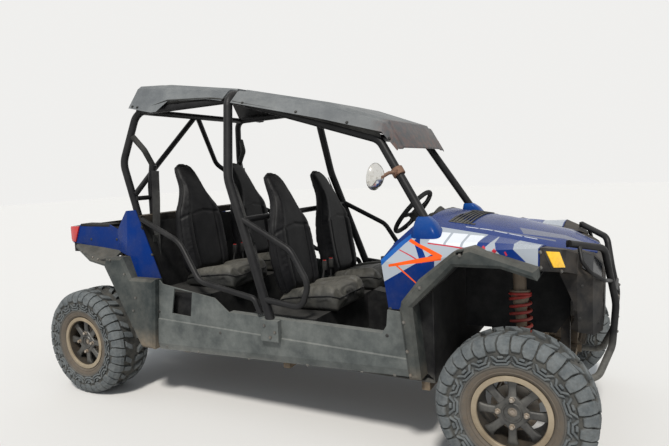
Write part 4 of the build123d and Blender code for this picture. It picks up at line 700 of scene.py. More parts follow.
# %% Small tools for Geometry Nodes
def tree_node(tree, kind, inputs=None, **settings):
    """Add a geometry node, and set or wire its inputs."""
    node = tree.nodes.new(kind)
    for key, value in settings.items():
        setattr(node, key, value)
    for key, value in (inputs or {}).items():
        if isinstance(value, bpy.types.NodeSocket):
            tree.links.new(value, node.inputs[key])
        else:
            node.inputs[key].default_value = value
    return node


def new_tree(name, sockets):
    """A Geometry Nodes tree with a geometry in and out and named inputs."""
    tree = bpy.data.node_groups.new(name, "GeometryNodeTree")
    tree.interface.new_socket("Geometry", in_out="INPUT", socket_type="NodeSocketGeometry")
    tree.interface.new_socket("Geometry", in_out="OUTPUT", socket_type="NodeSocketGeometry")
    for title, kind in sockets:
        tree.interface.new_socket(title, in_out="INPUT", socket_type=kind)
    return tree, tree_node(tree, "NodeGroupInput"), tree_node(tree, "NodeGroupOutput")


def use_tree(piece, tree, values):
    """Run a tree on a piece with its named inputs set, and keep the plain result."""
    modifier = piece.modifiers.new(tree.name, "NODES")
    modifier.node_group = tree
    for item in tree.interface.items_tree:
        if item.in_out == "INPUT" and item.name in values:
            modifier[item.identifier] = values[item.name]
    return plain(piece)


# %% Geometry Nodes: repeat a piece round an axle
ring_tree, given, result = new_tree(
    "repeat round an axle", [("Count", "NodeSocketInt"), ("Look", "NodeSocketMaterial")]
)
spots = tree_node(ring_tree, "GeometryNodeMeshLine", {"Count": given.outputs["Count"], "Offset": (0, 0, 0)})
index = tree_node(ring_tree, "GeometryNodeInputIndex")
share = tree_node(ring_tree, "ShaderNodeMath", {0: index.outputs[0], 1: given.outputs["Count"]},
                  operation="DIVIDE")
angle = tree_node(ring_tree, "ShaderNodeMath", {0: share.outputs[0], 1: 2 * math.pi}, operation="MULTIPLY")
spin = tree_node(ring_tree, "ShaderNodeCombineXYZ", {1: angle.outputs[0]})
copies = tree_node(ring_tree, "GeometryNodeInstanceOnPoints", {
    "Points": spots.outputs[0], "Instance": given.outputs["Geometry"], "Rotation": spin.outputs[0],
})
real = tree_node(ring_tree, "GeometryNodeRealizeInstances", {0: copies.outputs[0]})
dressed = tree_node(ring_tree, "GeometryNodeSetMaterial", {
    "Geometry": real.outputs[0], "Material": given.outputs["Look"],
})
ring_tree.links.new(dressed.outputs[0], result.inputs[0])


def repeat_round(piece, count, look):
    """The piece, count times round the Y axis."""
    return use_tree(piece, ring_tree, {"Count": count, "Look": look})


# %% Geometry Nodes: a tube along a bent path
tube_tree, given, result = new_tree("tube along a path", [
    ("Radius", "NodeSocketFloat"), ("Bend", "NodeSocketFloat"), ("Look", "NodeSocketMaterial"),
])
filleted = tree_node(tube_tree, "GeometryNodeFilletCurve", {
    "Curve": given.outputs["Geometry"], "Radius": given.outputs["Bend"], "Count": 7, "Limit Radius": True,
}, mode="POLY")
ring = tree_node(tube_tree, "GeometryNodeCurvePrimitiveCircle", {
    "Radius": given.outputs["Radius"], "Resolution": 14,
})
swept = tree_node(tube_tree, "GeometryNodeCurveToMesh", {
    "Curve": filleted.outputs[0], "Profile Curve": ring.outputs[0], "Fill Caps": True,
})
smoothed = tree_node(tube_tree, "GeometryNodeSetShadeSmooth", {"Geometry": swept.outputs[0]})
dressed = tree_node(tube_tree, "GeometryNodeSetMaterial", {
    "Geometry": smoothed.outputs[0], "Material": given.outputs["Look"],
})
tube_tree.links.new(dressed.outputs[0], result.inputs[0])


def bent_tube(name, path, radius, bend, look):
    """A round tube along a path with rounded corners."""
    curve = bpy.data.curves.new(name, "CURVE")
    curve.dimensions = "3D"
    spline = curve.splines.new("POLY")
    spline.points.add(len(path) - 1)
    for point, place in zip(spline.points, path):
        point.co = (*place, 1.0)
    holder = new_object(name + "_path", curve)
    made = use_tree(holder, tube_tree, {"Radius": radius, "Bend": bend, "Look": look})
    made.name = name
    return sharpen(made, 50.0)


# %% Geometry Nodes: a fastener on each of many spots
spot_tree, given, result = new_tree(
    "fastener on each spot", [("Fastener", "NodeSocketObject"), ("Look", "NodeSocketMaterial")]
)
part_info = tree_node(spot_tree, "GeometryNodeObjectInfo", {"Object": given.outputs["Fastener"]})
facing = tree_node(spot_tree, "GeometryNodeInputNamedAttribute", {"Name": "facing"}, data_type="FLOAT_VECTOR")
aligned = tree_node(spot_tree, "FunctionNodeAlignRotationToVector", {"Vector": facing.outputs[0]}, axis="Z")
placed = tree_node(spot_tree, "GeometryNodeInstanceOnPoints", {
    "Points": given.outputs["Geometry"], "Instance": part_info.outputs["Geometry"],
    "Rotation": aligned.outputs[0],
})
real = tree_node(spot_tree, "GeometryNodeRealizeInstances", {0: placed.outputs[0]})
dressed = tree_node(spot_tree, "GeometryNodeSetMaterial", {
    "Geometry": real.outputs[0], "Material": given.outputs["Look"],
})
spot_tree.links.new(dressed.outputs[0], result.inputs[0])


def on_spots(name, fastener, spots, look):
    """The fastener on each spot: (place, facing)."""
    mesh = bpy.data.meshes.new(name)
    mesh.from_pydata([place for place, _ in spots], [], [])
    facing_data = mesh.attributes.new("facing", "FLOAT_VECTOR", "POINT")
    for item, (_, towards) in zip(facing_data.data, spots):
        item.vector = towards
    made = new_object(name, mesh)
    return use_tree(made, spot_tree, {"Fastener": fastener, "Look": look})


# %% Bolts and rivets to put there, and other shapes turned about Z
templates = []


def template(name, points, faces):
    """A small shape that is only used by the trees, and is removed at the end."""
    made = make_mesh(name, points, faces, finishes["bare steel"])
    made.hide_render = True
    templates.append(made)
    return made


def lathe_z(profile, segments):
    """Points and faces of a shape turned about Z, closed where the radius is zero."""
    rows = []
    for radius, z in profile:
        rows.append([
            (radius * math.cos(2 * math.pi * k / segments), radius * math.sin(2 * math.pi * k / segments), z)
            for k in range(segments)
        ])
    return skin(rows)


def lathed(name, profile, segments, look, degrees=30.0):
    """A piece turned about the Z axis, with its edges kept sharp past an angle."""
    return sharpen(make_mesh(name, *lathe_z(profile, segments), look), degrees)


hex_bolt = template("hex_bolt", *lathe_z(
    [(0.0090, -0.001), (0.0090, 0.0015), (0.0065, 0.0016), (0.0065, 0.0055), (0.0050, 0.0065)], 6
))
push_rivet = template("push_rivet", *lathe_z(
    [(0.0085, -0.001), (0.0085, 0.0010), (0.0065, 0.0028), (0.0020, 0.0034)], 10
))
print("templates", [made.name for made in templates])

# %% [markdown]
# ## Tyres
#
# An off-road tyre is a round carcass with tall blocks of rubber. The blocks are all the same
# a few times round, so one pitch of the tread is modelled and a Geometry Nodes tree repeats
# it round the axle. Each block is drawn on an unrolled tyre, as stations across the tread,
# and two tables say where the bare carcass and the block's top run at each station. Each
# vertex keeps how high on the block it is, and the finish uses it: tops are rubbed pale with
# dust, and the grooves and the bare carcass are darkened as painted shade.

# %% A block of the tread
def carcass_line(half):
    """Share across the tyre, then the carcass (y, radius) and the tips (y, radius)."""
    return [
        (0.00, (0.0, 0.313), (0.0, 0.3298)),
        (0.30, (half * 0.42, 0.313), (half * 0.42, 0.3298)),
        (0.52, (half - 0.044, 0.311), (half - 0.042, 0.3280)),
        (0.64, (half - 0.026, 0.302), (half - 0.019, 0.3170)),
        (0.76, (half - 0.013, 0.284), (half - 0.005, 0.2920)),
        (0.88, (half - 0.011, 0.262), (half - 0.001, 0.2640)),
        (1.00, (half - 0.012, 0.240), (half - 0.002, 0.2400)),
        (1.14, (half - 0.011, 0.216), (half - 0.003, 0.2160)),
    ]


def across(line, share, high):
    """The place (y, radius) at a share across the tyre, on the carcass or on the tips."""
    side = -1.0 if share < 0 else 1.0
    share = abs(share)
    for (a, low_a, tip_a), (b, low_b, tip_b) in zip(line, line[1:]):
        if share <= b:
            t = (share - a) / (b - a)
            p, q = (tip_a, tip_b) if high else (low_a, low_b)
            return side * (p[0] + t * (q[0] - p[0])), p[1] + t * (q[1] - p[1])
    return side * line[-1][2 if high else 1][0], line[-1][2 if high else 1][1]


def tread_block(line, stations, pitch, shift=0.0, flip=1.0):
    """A block over stations: share across, then its start and end along the pitch."""
    rows, heights = [], []
    draft = 0.018
    for share, start, end in stations:
        row = []
        for along, high in ((start - draft, False), (start, True), (end, True), (end + draft, False)):
            y, radius = across(line, flip * share, high)
            radius = radius if high else radius - 0.004
            turn_by = (along + shift) * pitch
            row.append((radius * math.sin(turn_by), y, radius * math.cos(turn_by)))
            heights.append(1.0 if high else 0.0)
        rows.append(row)
    points, faces = skin(rows)
    return points, faces, heights


# %% The pattern of one pitch
# One side of the tread. Each block: (share across, start, end) at each station
side_blocks = [
    [(0.40, -0.48, -0.32), (0.55, -0.48, -0.28), (0.70, -0.48, -0.24), (0.80, -0.475, -0.24),
     (0.885, -0.46, -0.30)],
    [(0.44, -0.27, -0.03), (0.56, -0.24, -0.02), (0.68, -0.20, -0.015), (0.78, -0.20, -0.02),
     (0.825, -0.19, -0.04)],
    [(0.40, 0.02, 0.19), (0.55, 0.02, 0.225), (0.70, 0.02, 0.255), (0.80, 0.025, 0.255),
     (0.885, 0.04, 0.19)],
    [(0.44, 0.24, 0.46), (0.56, 0.265, 0.48), (0.68, 0.295, 0.485), (0.78, 0.295, 0.48),
     (0.825, 0.305, 0.46)],
    [(0.12, -0.38, -0.26), (0.24, -0.33, -0.19), (0.36, -0.25, -0.11)],
    [(0.06, -0.06, 0.08), (0.20, -0.03, 0.12), (0.34, 0.02, 0.14)],
    [(0.12, 0.20, 0.32), (0.24, 0.26, 0.40), (0.36, 0.33, 0.46)],
]
# Zigzag ridges on the sidewall below the blocks: (share across, along the pitch)
side_ridges = [
    [(0.91, -0.48), (1.03, -0.37), (1.03, -0.19), (0.91, -0.08)],
    [(0.91, 0.00), (1.03, 0.11), (1.03, 0.31), (0.91, 0.42)],
    [(1.02, -0.50), (1.11, -0.42), (1.11, -0.14), (1.05, -0.06)],
    [(1.02, 0.00), (1.11, 0.08), (1.11, 0.36), (1.05, 0.44)],
    [(0.95, -0.30), (0.95, -0.24)],
    [(0.95, 0.19), (0.95, 0.25)],
]
# Half a ridge's width, along the pitch and across the tyre
ridge_along, ridge_across = 0.030, 0.027
tread_pitches = 9


# %% One pitch as a mesh
def tread_pitch(name, half, pitch):
    """One pitch of tread as a mesh, with the height on the block stored for the finish."""
    line = carcass_line(half)
    points, faces, heights = [], [], []

    def gather(made):
        more_points, more_faces, more_heights = made
        start = len(points)
        points.extend(more_points)
        faces.extend([tuple(start + i for i in face) for face in more_faces])
        heights.extend(more_heights)

    for flip, shift in ((1.0, 0.0), (-1.0, 0.25)):
        for stations in side_blocks:
            gather(tread_block(line, stations, pitch, shift, flip))
        for ridge in side_ridges:
            for (share_a, along_a), (share_b, along_b) in zip(ridge, ridge[1:]):
                ends = [(share_a, along_a, along_a), (share_b, along_b, along_b)]
                if abs(share_b - share_a) < 0.02:
                    low, high = sorted((along_a, along_b))
                    ends = [(share_a - ridge_across, low, high), (share_a + ridge_across, low, high)]
                stations = [(share, low - ridge_along, high + ridge_along) for share, low, high in ends]
                gather(tread_block(line, stations, pitch, shift, flip))
    mesh = bpy.data.meshes.new(name)
    mesh.from_pydata(points, [], faces)
    work = bmesh.new()
    work.from_mesh(mesh)
    bmesh.ops.recalc_face_normals(work, faces=work.faces)
    work.to_mesh(mesh)
    work.free()
    stored = mesh.attributes.new("raised", "FLOAT", "POINT")
    stored.data.foreach_set("value", heights)
    return new_object(name, mesh)


# %% Tyre rubber
look, tree, shader, place = start_finish("dusty tyre rubber")
raised = add(tree, "Attribute", output=2, attribute_name="raised")
mottle = spread(tree, grain(tree, place, 22.0, 6.0, 0.7), 0.32, 0.70)
# Painted shade: the grooves, the low sides of the blocks and the bare carcass get this much darker colour; the
# paler tops are dust
groove_shade_colour = colour_mix(tree, mottle, (0.036, 0.037, 0.036), (0.095, 0.088, 0.074))
top_colour = colour_mix(tree, mottle, (0.092, 0.104, 0.110), (0.168, 0.180, 0.183))
scuffs = spread(tree, grain(tree, place, 75.0, 5.0, 0.7), 0.3, 0.7, 0.55, 1.05)
colour = colour_mix(tree, calc(tree, "MULTIPLY", raised, scuffs, clamp=True), groove_shade_colour, top_colour)
ring = add(tree, "Attribute", output=2, attribute_name="ring")
colour = colour_mix(tree, calc(tree, "MULTIPLY", ring, scuffs, clamp=True), colour, (0.130, 0.098, 0.068))
bump = add(tree, "Bump", {"Strength": 0.4, "Distance": 0.0015, "Height": grain(tree, place, 140.0, 5.0)})
roughness = spread(tree, mottle, 0.0, 1.0, 0.72, 0.92)
wire(tree, shader, colour=colour, roughness=roughness, normal=bump, gloss=0.19)
tyre_rubber = look
print("tyre rubber nodes", len(tree.nodes))

# %% Carcass and the whole tyre
bead_bore = 0.1535
# The sidewall is rubbed inside the first radius, and browner still in the ring at the bead
rubbed_radius, ring_radius, ring_width = 0.255, 0.220, 0.030


def tyre_piece(name, width):
    """A tyre round the Y axis: a turned carcass with its tread repeated round it."""
    half = width / 2
    line = carcass_line(half)
    bead = half - 0.026
    outer = [line[-1][1]] + [
        (half - 0.0060, 0.2120), (half - 0.0060, 0.2070), (half - 0.0100, 0.2040),
        (half - 0.0095, 0.196), (half - 0.0150, 0.184), (half - 0.0135, 0.180), (half - 0.0160, 0.176),
        (bead + 0.0040, 0.1690), (bead, 0.1662),
    ]
    side = [row[1] for row in line[1:-1]] + outer
    profile = [(line[0][1][1], 0.0)] + [(r, y) for y, r in side]
    profile += [(bead_bore, bead - 0.012), (bead_bore, 0.0)]
    other = [(r, -y) for r, y in profile[1:-1]][::-1]
    points, faces = turned(profile + other, 96)
    carcass = make_mesh(name + "_carcass", points, faces, tyre_rubber)
    # Outside the rubbed radius the carcass takes the dark groove colour, painted shade between the blocks
    reach = [math.hypot(vertex.co.x, vertex.co.z) for vertex in carcass.data.vertices]
    raised = [0.55 if radius < rubbed_radius else 0.15 for radius in reach]
    ring = [min(max((ring_radius - radius) / ring_width, 0.0), 0.8) for radius in reach]
    for title, values in (("raised", raised), ("ring", ring)):
        carcass.data.attributes.new(title, "FLOAT", "POINT").data.foreach_set("value", values)
    sharpen(carcass, 40.0)
    pitch = 2 * math.pi / tread_pitches
    tread = rounded(tread_pitch(name + "_tread", half, pitch), 0.0016, 1)
    tread = repeat_round(tread, tread_pitches, tyre_rubber)
    return join(name, [carcass, tread])


# %% One tyre for each width, copied to its corners
wheel_table = []
for corner in ("front_left", "front_right", "rear_left", "rear_right"):
    low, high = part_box("tyre_" + corner)
    wheel_table.append((corner, (low + high) / 2, high.y - low.y))
tyres = {}
for corner, centre, width in wheel_table:
    key = round(width, 4)
    if key not in tyres:
        tyres[key] = tyre_piece("tyre_master_%d" % (1000 * key), width)
    piece = copy_at("tyre_dressed_" + corner, tyres[key], centre, half_turn=corner.endswith("right"))
    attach(piece, "wheel_" + corner)
    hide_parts("tyre_" + corner)
for master in tyres.values():
    print("tyre faces", len(master.data.polygons))
    bpy.data.objects.remove(master)

# %% [markdown]
# ## Rims
#
# The rims are cast alloy with eight short spokes. The barrel and its lip are one turned
# shape, pale with dust outside and darkened within as painted shade. A spoke is a small beam
# that is higher along its middle, repeated round the axle. The hub plate is turned, and then
# pulled out where a nut sits.

# %% Barrel of a rim
rim_seat, rim_lip = 0.152, 0.165


def barrel_piece(name, lip):
    """The barrel with its two lips; its inside has the darker finish, as painted shade."""
    barrel_line = [
        (rim_lip, lip - 0.001), (rim_lip, lip - 0.007), (rim_seat + 0.0012, lip - 0.0075),
        (rim_seat, lip - 0.012), (rim_seat - 0.010, lip - 0.045), (rim_seat - 0.010, -lip + 0.040),
        (rim_seat, -lip + 0.012), (rim_seat + 0.0012, -lip + 0.0075), (rim_lip, -lip + 0.007),
        (rim_lip, -lip), (rim_seat - 0.006, -lip), (rim_seat - 0.016, -lip + 0.040),
        (rim_seat - 0.016, lip - 0.055), (0.140, lip - 0.030), (0.1415, lip - 0.010),
        (0.1430, lip - 0.0015), (0.1445, lip), (rim_lip - 0.002, lip),
    ]
    barrel = turned_piece(name + "_barrel", barrel_line, 96, finishes["dusty rim lip"])
    barrel.data.materials.append(finishes["rim barrel dust"])
    inner_radius, inner_end = 0.1425, lip - 0.012
    # Painted shade: the barrel's inside, behind the spokes, gets the near-black finish
    for face in barrel.data.polygons:
        radius = math.hypot(face.center.x, face.center.z)
        if radius < inner_radius and face.center.y < inner_end:
            face.material_index = 1
    return barrel


# %% Spokes
spoke_count = 8


def spokes_piece(name, face_y):
    """The spokes, each a beam from the hub out to the barrel."""
    # A spoke's rows from the hub out: radius, half width, height of the middle, of the edge
    spoke_rows = [
        (0.050, 0.0195, face_y, face_y - 0.002), (0.075, 0.0165, face_y + 0.001, face_y - 0.003),
        (0.105, 0.0165, face_y, face_y - 0.004), (0.128, 0.0200, face_y - 0.002, face_y - 0.006),
        (0.1415, 0.0270, face_y - 0.004, face_y - 0.008),
    ]
    rows = []
    for radius, wide, middle, edge in spoke_rows:
        back, flat = edge - 0.014, wide * 0.62
        rows.append([
            (-wide, back, radius), (-wide, edge, radius), (-flat, middle, radius),
            (flat, middle, radius), (wide, edge, radius), (wide, back, radius),
        ])
    spoke = make_mesh(name + "_spokes", *skin(rows), finishes["dark spoke alloy"])
    return sharpen(repeat_round(rounded(spoke, 0.0015), spoke_count, finishes["dark spoke alloy"]), 40.0)


# %% Hub plate, nuts and cap
nut_count, nut_circle = 4, 0.058
lobe_root = 0.045


def plate_piece(name, face_y):
    """The hub plate, with a lobe at each nut."""
    plate_line = [
        (0.020, face_y - 0.004), (0.034, face_y - 0.003), (0.036, face_y + 0.004),
        (0.040, face_y + 0.005), (0.043, face_y + 0.001), (0.068, face_y + 0.002),
        (0.073, face_y - 0.002), (0.073, face_y - 0.018), (0.020, face_y - 0.018),
    ]
    points, faces = turned(plate_line, 72)
    lobed = []
    for x, y, z in points:
        radius = math.hypot(x, z)
        if radius > lobe_root:
            swell = 0.5 + 0.5 * math.cos(nut_count * math.atan2(x, z))
            radius_new = lobe_root + (radius - lobe_root) * (0.62 + 0.50 * swell * swell)
            x, z = x * radius_new / radius, z * radius_new / radius
        lobed.append((x, y, z))
    return sharpen(make_mesh(name + "_plate", lobed, faces, finishes["dark spoke alloy"]), 30.0)


def nuts_piece(name, face_y):
    """The wheel nuts with their studs' ends."""
    nut_line = [
        (0.0125, face_y), (0.0125, face_y + 0.004), (0.0095, face_y + 0.005),
        (0.0095, face_y + 0.018), (0.0060, face_y + 0.021),
    ]
    rows = []
    for radius, y in nut_line:
        rows.append([
            (radius * math.cos(math.pi * k / 3), y, nut_circle + radius * math.sin(math.pi * k / 3))
            for k in range(6)
        ])
    nut = make_mesh(name + "_nuts", *skin(rows), finishes["bare steel"], smooth=False)
    return repeat_round(nut, nut_count, finishes["bare steel"])


# %% The whole rim, with its brake disc and hub
def rim_piece(name, width):
    """A rim round the Y axis, its outer side towards +Y."""
    lip = width / 2 - 0.018
    face_y = lip - 0.026
    barrel = barrel_piece(name, lip)
    spokes = spokes_piece(name, face_y)
    plate = plate_piece(name, face_y)
    cap_line = [
        (0.0005, face_y - 0.005), (0.010, face_y - 0.005), (0.0105, face_y - 0.010),
        (0.030, face_y - 0.011), (0.033, face_y - 0.004), (0.033, face_y - 0.018),
        (0.0005, face_y - 0.018),
    ]
    cap = turned_piece(name + "_cap", cap_line, 48, finishes["bare steel"])
    nuts = nuts_piece(name, face_y)
    brake_line = [(0.040, 0.004), (0.100, 0.004), (0.100, 0.009), (0.040, 0.009)]
    brake = turned_piece(name + "_brake", brake_line, 64, finishes["bare steel"])
    hub_line = [
        (0.0172, -0.0037), (0.040, -0.0037), (0.040, face_y - 0.020), (0.0172, face_y - 0.020),
    ]
    hub = turned_piece(name + "_hub", hub_line, 48, finishes["cast metal"])
    return join(name, [barrel, spokes, plate, cap, nuts, brake, hub])


# %% One rim for each width, copied to its corners
rims = {}
for corner, centre, width in wheel_table:
    key = round(width, 4)
    if key not in rims:
        rims[key] = rim_piece("rim_master_%d" % (1000 * key), width)
    piece = copy_at("rim_dressed_" + corner, rims[key], centre, half_turn=corner.endswith("right"))
    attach(piece, "wheel_" + corner)
    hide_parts("rim_" + corner)
for master in rims.values():
    print("rim faces", len(master.data.polygons))
    bpy.data.objects.remove(master)

# %% [markdown]
# ## Seats
#
# A seat is foam in a sewn cover. Each pad starts a little too small, is cut into even faces,
# and is blown up by Blender's cloth solver, which gives the tight, slightly uneven skin of a
# stuffed cover. How far a point may travel is capped, and the underside stays flat on the
# riser. Seams are pressed in afterwards along curves, and piping is laid over the outer ones.
# One cushion and one back are made, then copied to the four places of the CAD seats.

# %% Read the solids of a node, and a table eased between its rows
def islands(node):
    """The separate solids of a CAD node, each as a list of its corner points."""
    work = bmesh.new()
    work.from_mesh(nodes[node].data)
    work.transform(nodes[node].matrix_world)
    bmesh.ops.remove_doubles(work, verts=work.verts, dist=1e-5)
    seen, groups = set(), []
    for vertex in work.verts:
        if vertex in seen:
            continue
        group, edge_of_group = [], [vertex]
        seen.add(vertex)
        while edge_of_group:
            current = edge_of_group.pop()
            group.append(current.co.copy())
            for edge in current.link_edges:
                other = edge.other_vert(current)
                if other not in seen:
                    seen.add(other)
                    edge_of_group.append(other)
        groups.append(group)
    work.free()
    return groups


def box_of(points):
    """The low and high corners of some points."""
    columns = list(zip(*points))
    return Vector([min(column) for column in columns]), Vector([max(column) for column in columns])


def smooth_rows(table, at):
    """A row of numbers read from a table at one place of its first column, eased between the rows."""
    table = sorted(table)
    at = min(max(at, table[0][0]), table[-1][0])
    for i in range(len(table) - 1):
        if at <= table[i + 1][0]:
            break
    before, a, b, after = table[max(i - 1, 0)], table[i], table[i + 1], table[min(i + 2, len(table) - 1)]
    span = b[0] - a[0]
    t = (at - a[0]) / span
    row = []
    for k in range(1, len(a)):
        slope_a = (b[k] - before[k]) / (b[0] - before[0]) * span
        slope_b = (after[k] - a[k]) / (after[0] - a[0]) * span
        row.append((2 * t ** 3 - 3 * t ** 2 + 1) * a[k] + (t ** 3 - 2 * t ** 2 + t) * slope_a
                   + (3 * t ** 2 - 2 * t ** 3) * b[k] + (t ** 3 - t ** 2) * slope_b)
    return row


# %% Blow a pad up with the cloth solver
pad_face, pad_travel, cloth_frames = 0.0065, 0.010, 20


def stuffed(piece, rest=None):
    """Blow a closed pad up; no point moves further than the travel, or ends below the rest."""
    cut = piece.modifiers.new("even faces", "REMESH")
    cut.mode = "VOXEL"
    cut.voxel_size = pad_face
    ease = piece.modifiers.new("ease", "SMOOTH")
    ease.factor = 0.5
    ease.iterations = 4
    piece = plain(piece)
    start = [vertex.co.copy() for vertex in piece.data.vertices]
    cloth = piece.modifiers.new("cloth", "CLOTH")
    cloth.settings.use_pressure = True
    cloth.settings.uniform_pressure_force = 4.0
    cloth.settings.effector_weights.gravity = 0.0
    cloth.settings.quality = 4
    cloth.point_cache.frame_start = 1
    cloth.point_cache.frame_end = cloth_frames
    for frame_number in range(1, cloth_frames + 1):
        bpy.context.scene.frame_set(frame_number)
    graph = bpy.context.evaluated_depsgraph_get()
    swollen = piece.evaluated_get(graph).to_mesh()
    moved = [vertex.co.copy() for vertex in swollen.vertices]
    piece.evaluated_get(graph).to_mesh_clear()
    piece.modifiers.clear()
    bpy.context.scene.frame_set(1)
    for vertex, before, after in zip(piece.data.vertices, start, moved):
        step = after - before
        if step.length > pad_travel:
            step = step.normalized() * pad_travel
        vertex.co = before + step
    if rest is not None:
        for vertex in piece.data.vertices:
            vertex.co.z = max(vertex.co.z, rest)
    for polygon in piece.data.polygons:
        polygon.use_smooth = True
    return piece


# %% Seams and piping
seam_width, piping_radius = 0.014, 0.0038


def search_tree(mesh, place=Matrix.Identity(4)):
    """A search tree over a mesh's faces."""
    corners = [place @ vertex.co for vertex in mesh.vertices]
    return BVHTree.FromPolygons(corners, [face.vertices for face in mesh.polygons])


def press_seams(piece, seams, depth):
    """Sink the skin in a soft groove along each seam, a list of points near the surface."""
    skin_tree = search_tree(piece.data)
    spots = []
    for seam in seams:
        for a, b in zip(seam, seam[1:]):
            count = max(1, int((Vector(b) - Vector(a)).length / 0.004))
            for k in range(count):
                near = skin_tree.find_nearest(Vector(a).lerp(Vector(b), k / count))
                spots.append(near[0])
    lookup = KDTree(len(spots))
    for index, spot in enumerate(spots):
        lookup.insert(spot, index)
    lookup.balance()
    normals = [vertex.normal.copy() for vertex in piece.data.vertices]
    for vertex, normal in zip(piece.data.vertices, normals):
        _, _, distance = lookup.find(vertex.co)
        if distance < seam_width:
            share = 1.0 - (distance / seam_width) ** 2
            vertex.co -= normal * depth * share * share
    return piece


def piping(name, piece, seam, look):
    """A thin cord sewn along a seam, laid on the skin."""
    skin_tree = search_tree(piece.data)
    spots = [Vector(a).lerp(Vector(b), k / 4) for a, b in zip(seam, seam[1:]) for k in range(4)]
    path = []
    for spot in spots + [Vector(seam[-1])]:
        place, facing, _, _ = skin_tree.find_nearest(spot)
        path.append(place + facing * piping_radius * 0.3)
    return bent_tube(name, path, piping_radius, 0.004, look)


# %% The back: a wide shoulder, a narrow head and raised sides
# Height above the riser, middle of the back, half width, half thickness, height of the sides
back_form = [
    (0.072, -0.005, 0.182, 0.036, 0.004),
    (0.120, -0.015, 0.196, 0.040, 0.008),
    (0.250, -0.042, 0.212, 0.041, 0.012),
    (0.380, -0.057, 0.208, 0.036, 0.011),
    (0.460, -0.065, 0.192, 0.033, 0.007),
    (0.520, -0.080, 0.150, 0.033, 0.002),
    (0.600, -0.109, 0.104, 0.033, 0.000),
    (0.680, -0.150, 0.088, 0.029, 0.000),
    (0.725, -0.176, 0.070, 0.024, 0.000),
    (0.748, -0.190, 0.044, 0.016, 0.000),
    (0.754, -0.194, 0.022, 0.008, 0.000),
]
# Across a back's row: share of the half width, depth (1 front, -1 behind), share of the raised side
back_points = [
    (0.00, 1.00, 0.0), (0.30, 1.00, 0.0), (0.50, 0.98, 0.1), (0.62, 1.00, 0.8),
    (0.80, 1.00, 1.0), (0.93, 0.80, 0.8), (1.00, 0.25, 0.2), (0.99, -0.40, 0.0),
    (0.86, -0.92, 0.0), (0.50, -1.00, 0.0), (0.00, -1.00, 0.0),
]
back_round = back_points + [(-share, depth, raised) for share, depth, raised in back_points[-2:0:-1]]


def back_point(height, share, depth, raised):
    """A point of the back, from its height and its place across."""
    middle, half, thick, side = smooth_rows(back_form, height)
    return Vector((middle + depth * thick + raised * side, share * half, height))


rows = []
for k in range(25):
    height = back_form[0][0] + (back_form[-1][0] - back_form[0][0]) * (k / 24) ** 0.92
    rows.append([back_point(height, *spot) for spot in back_round])
back_master = stuffed(make_mesh("back_master", *skin(rows), finishes["black vinyl"]))
panel_seams = []
for side in (-1, 1):
    panel_seams.append([back_point(0.09 + 0.035 * k, side * 0.52, 1.1, 0.0) for k in range(11)])
cross_seam = [back_point(0.455 - 0.03 * abs(k) / 6, k / 6, 1.2, 0.5) for k in range(-6, 7)]
press_seams(back_master, panel_seams + [cross_seam], 0.007)
edge_seam = [back_point(0.08 + 0.0335 * k, 0.97, 0.55, 0.5) for k in range(20)]
edge_seam += [back_point(0.735, share, 0.6, 0.0) for share in (0.7, 0.3, -0.3, -0.7)]
edge_seam += [Vector((p.x, -p.y, p.z)) for p in edge_seam[:20][::-1]]
back_edge = piping("back_edge", back_master, edge_seam, finishes["black vinyl"])
print("back faces", len(back_master.data.polygons))

# %% The cushion: a crowned top between raised sides, rolled over at the front
# Place along the seat, half width, height of the top, height of the raised sides
cushion_form = [
    (-0.046, 0.176, 0.044, 0.006),
    (-0.020, 0.186, 0.060, 0.010),
    (0.060, 0.200, 0.082, 0.014),
    (0.160, 0.203, 0.100, 0.014),
    (0.250, 0.202, 0.115, 0.010),
    (0.305, 0.197, 0.121, 0.006),
    (0.330, 0.190, 0.105, 0.003),
    (0.337, 0.182, 0.070, 0.001),
]
# Across a cushion's row: share of the half width, share of the height, share of the raised side
cushion_points = [
    (0.00, 1.02, 0.0), (0.30, 1.01, 0.0), (0.52, 0.97, 0.2), (0.66, 1.00, 0.9),
    (0.84, 0.99, 1.0), (0.96, 0.84, 0.5), (1.00, 0.50, 0.0), (0.98, 0.12, 0.0),
    (0.90, 0.02, 0.0), (0.45, 0.02, 0.0), (0.00, 0.02, 0.0),
]
cushion_round = cushion_points + [(-share, up, raised) for share, up, raised in cushion_points[-2:0:-1]]


def cushion_point(along, share, up, raised):
    """A point of the cushion, from its place along and across the seat."""
    half, top_z, side = smooth_rows(cushion_form, along)
    return Vector((along, share * half, up * top_z + raised * side))


rows = []
for k in range(21):
    along = cushion_form[0][0] + (cushion_form[-1][0] - cushion_form[0][0]) * k / 20
    rows.append([cushion_point(along, *spot) for spot in cushion_round])
cushion_master = stuffed(make_mesh("cushion_master", *skin(rows), finishes["cushion vinyl"]), rest=0.0008)
panel_seams = []
for side in (-1, 1):
    panel_seams.append([cushion_point(-0.02 + 0.034 * k, side * 0.54, 1.1, 0.0) for k in range(11)])
band_seams = []
for along in (0.09, 0.185, 0.27):
    band_seams.append([cushion_point(along, 0.54 * k / 4, 1.1, 0.0) for k in range(-4, 5)])
press_seams(cushion_master, panel_seams + band_seams, 0.006)
edge_seam = [cushion_point(-0.03 + 0.024 * k, 0.985, 0.70, 0.3) for k in range(15)]
edge_seam += [cushion_point(0.337, share, 1.0, 0.0) for share in (0.85, 0.5, 0.0, -0.5, -0.85)]
edge_seam += [Vector((p.x, -p.y, p.z)) for p in edge_seam[:15][::-1]]
cushion_edge = piping("cushion_edge", cushion_master, edge_seam, finishes["black vinyl"])
print("cushion faces", len(cushion_master.data.polygons))

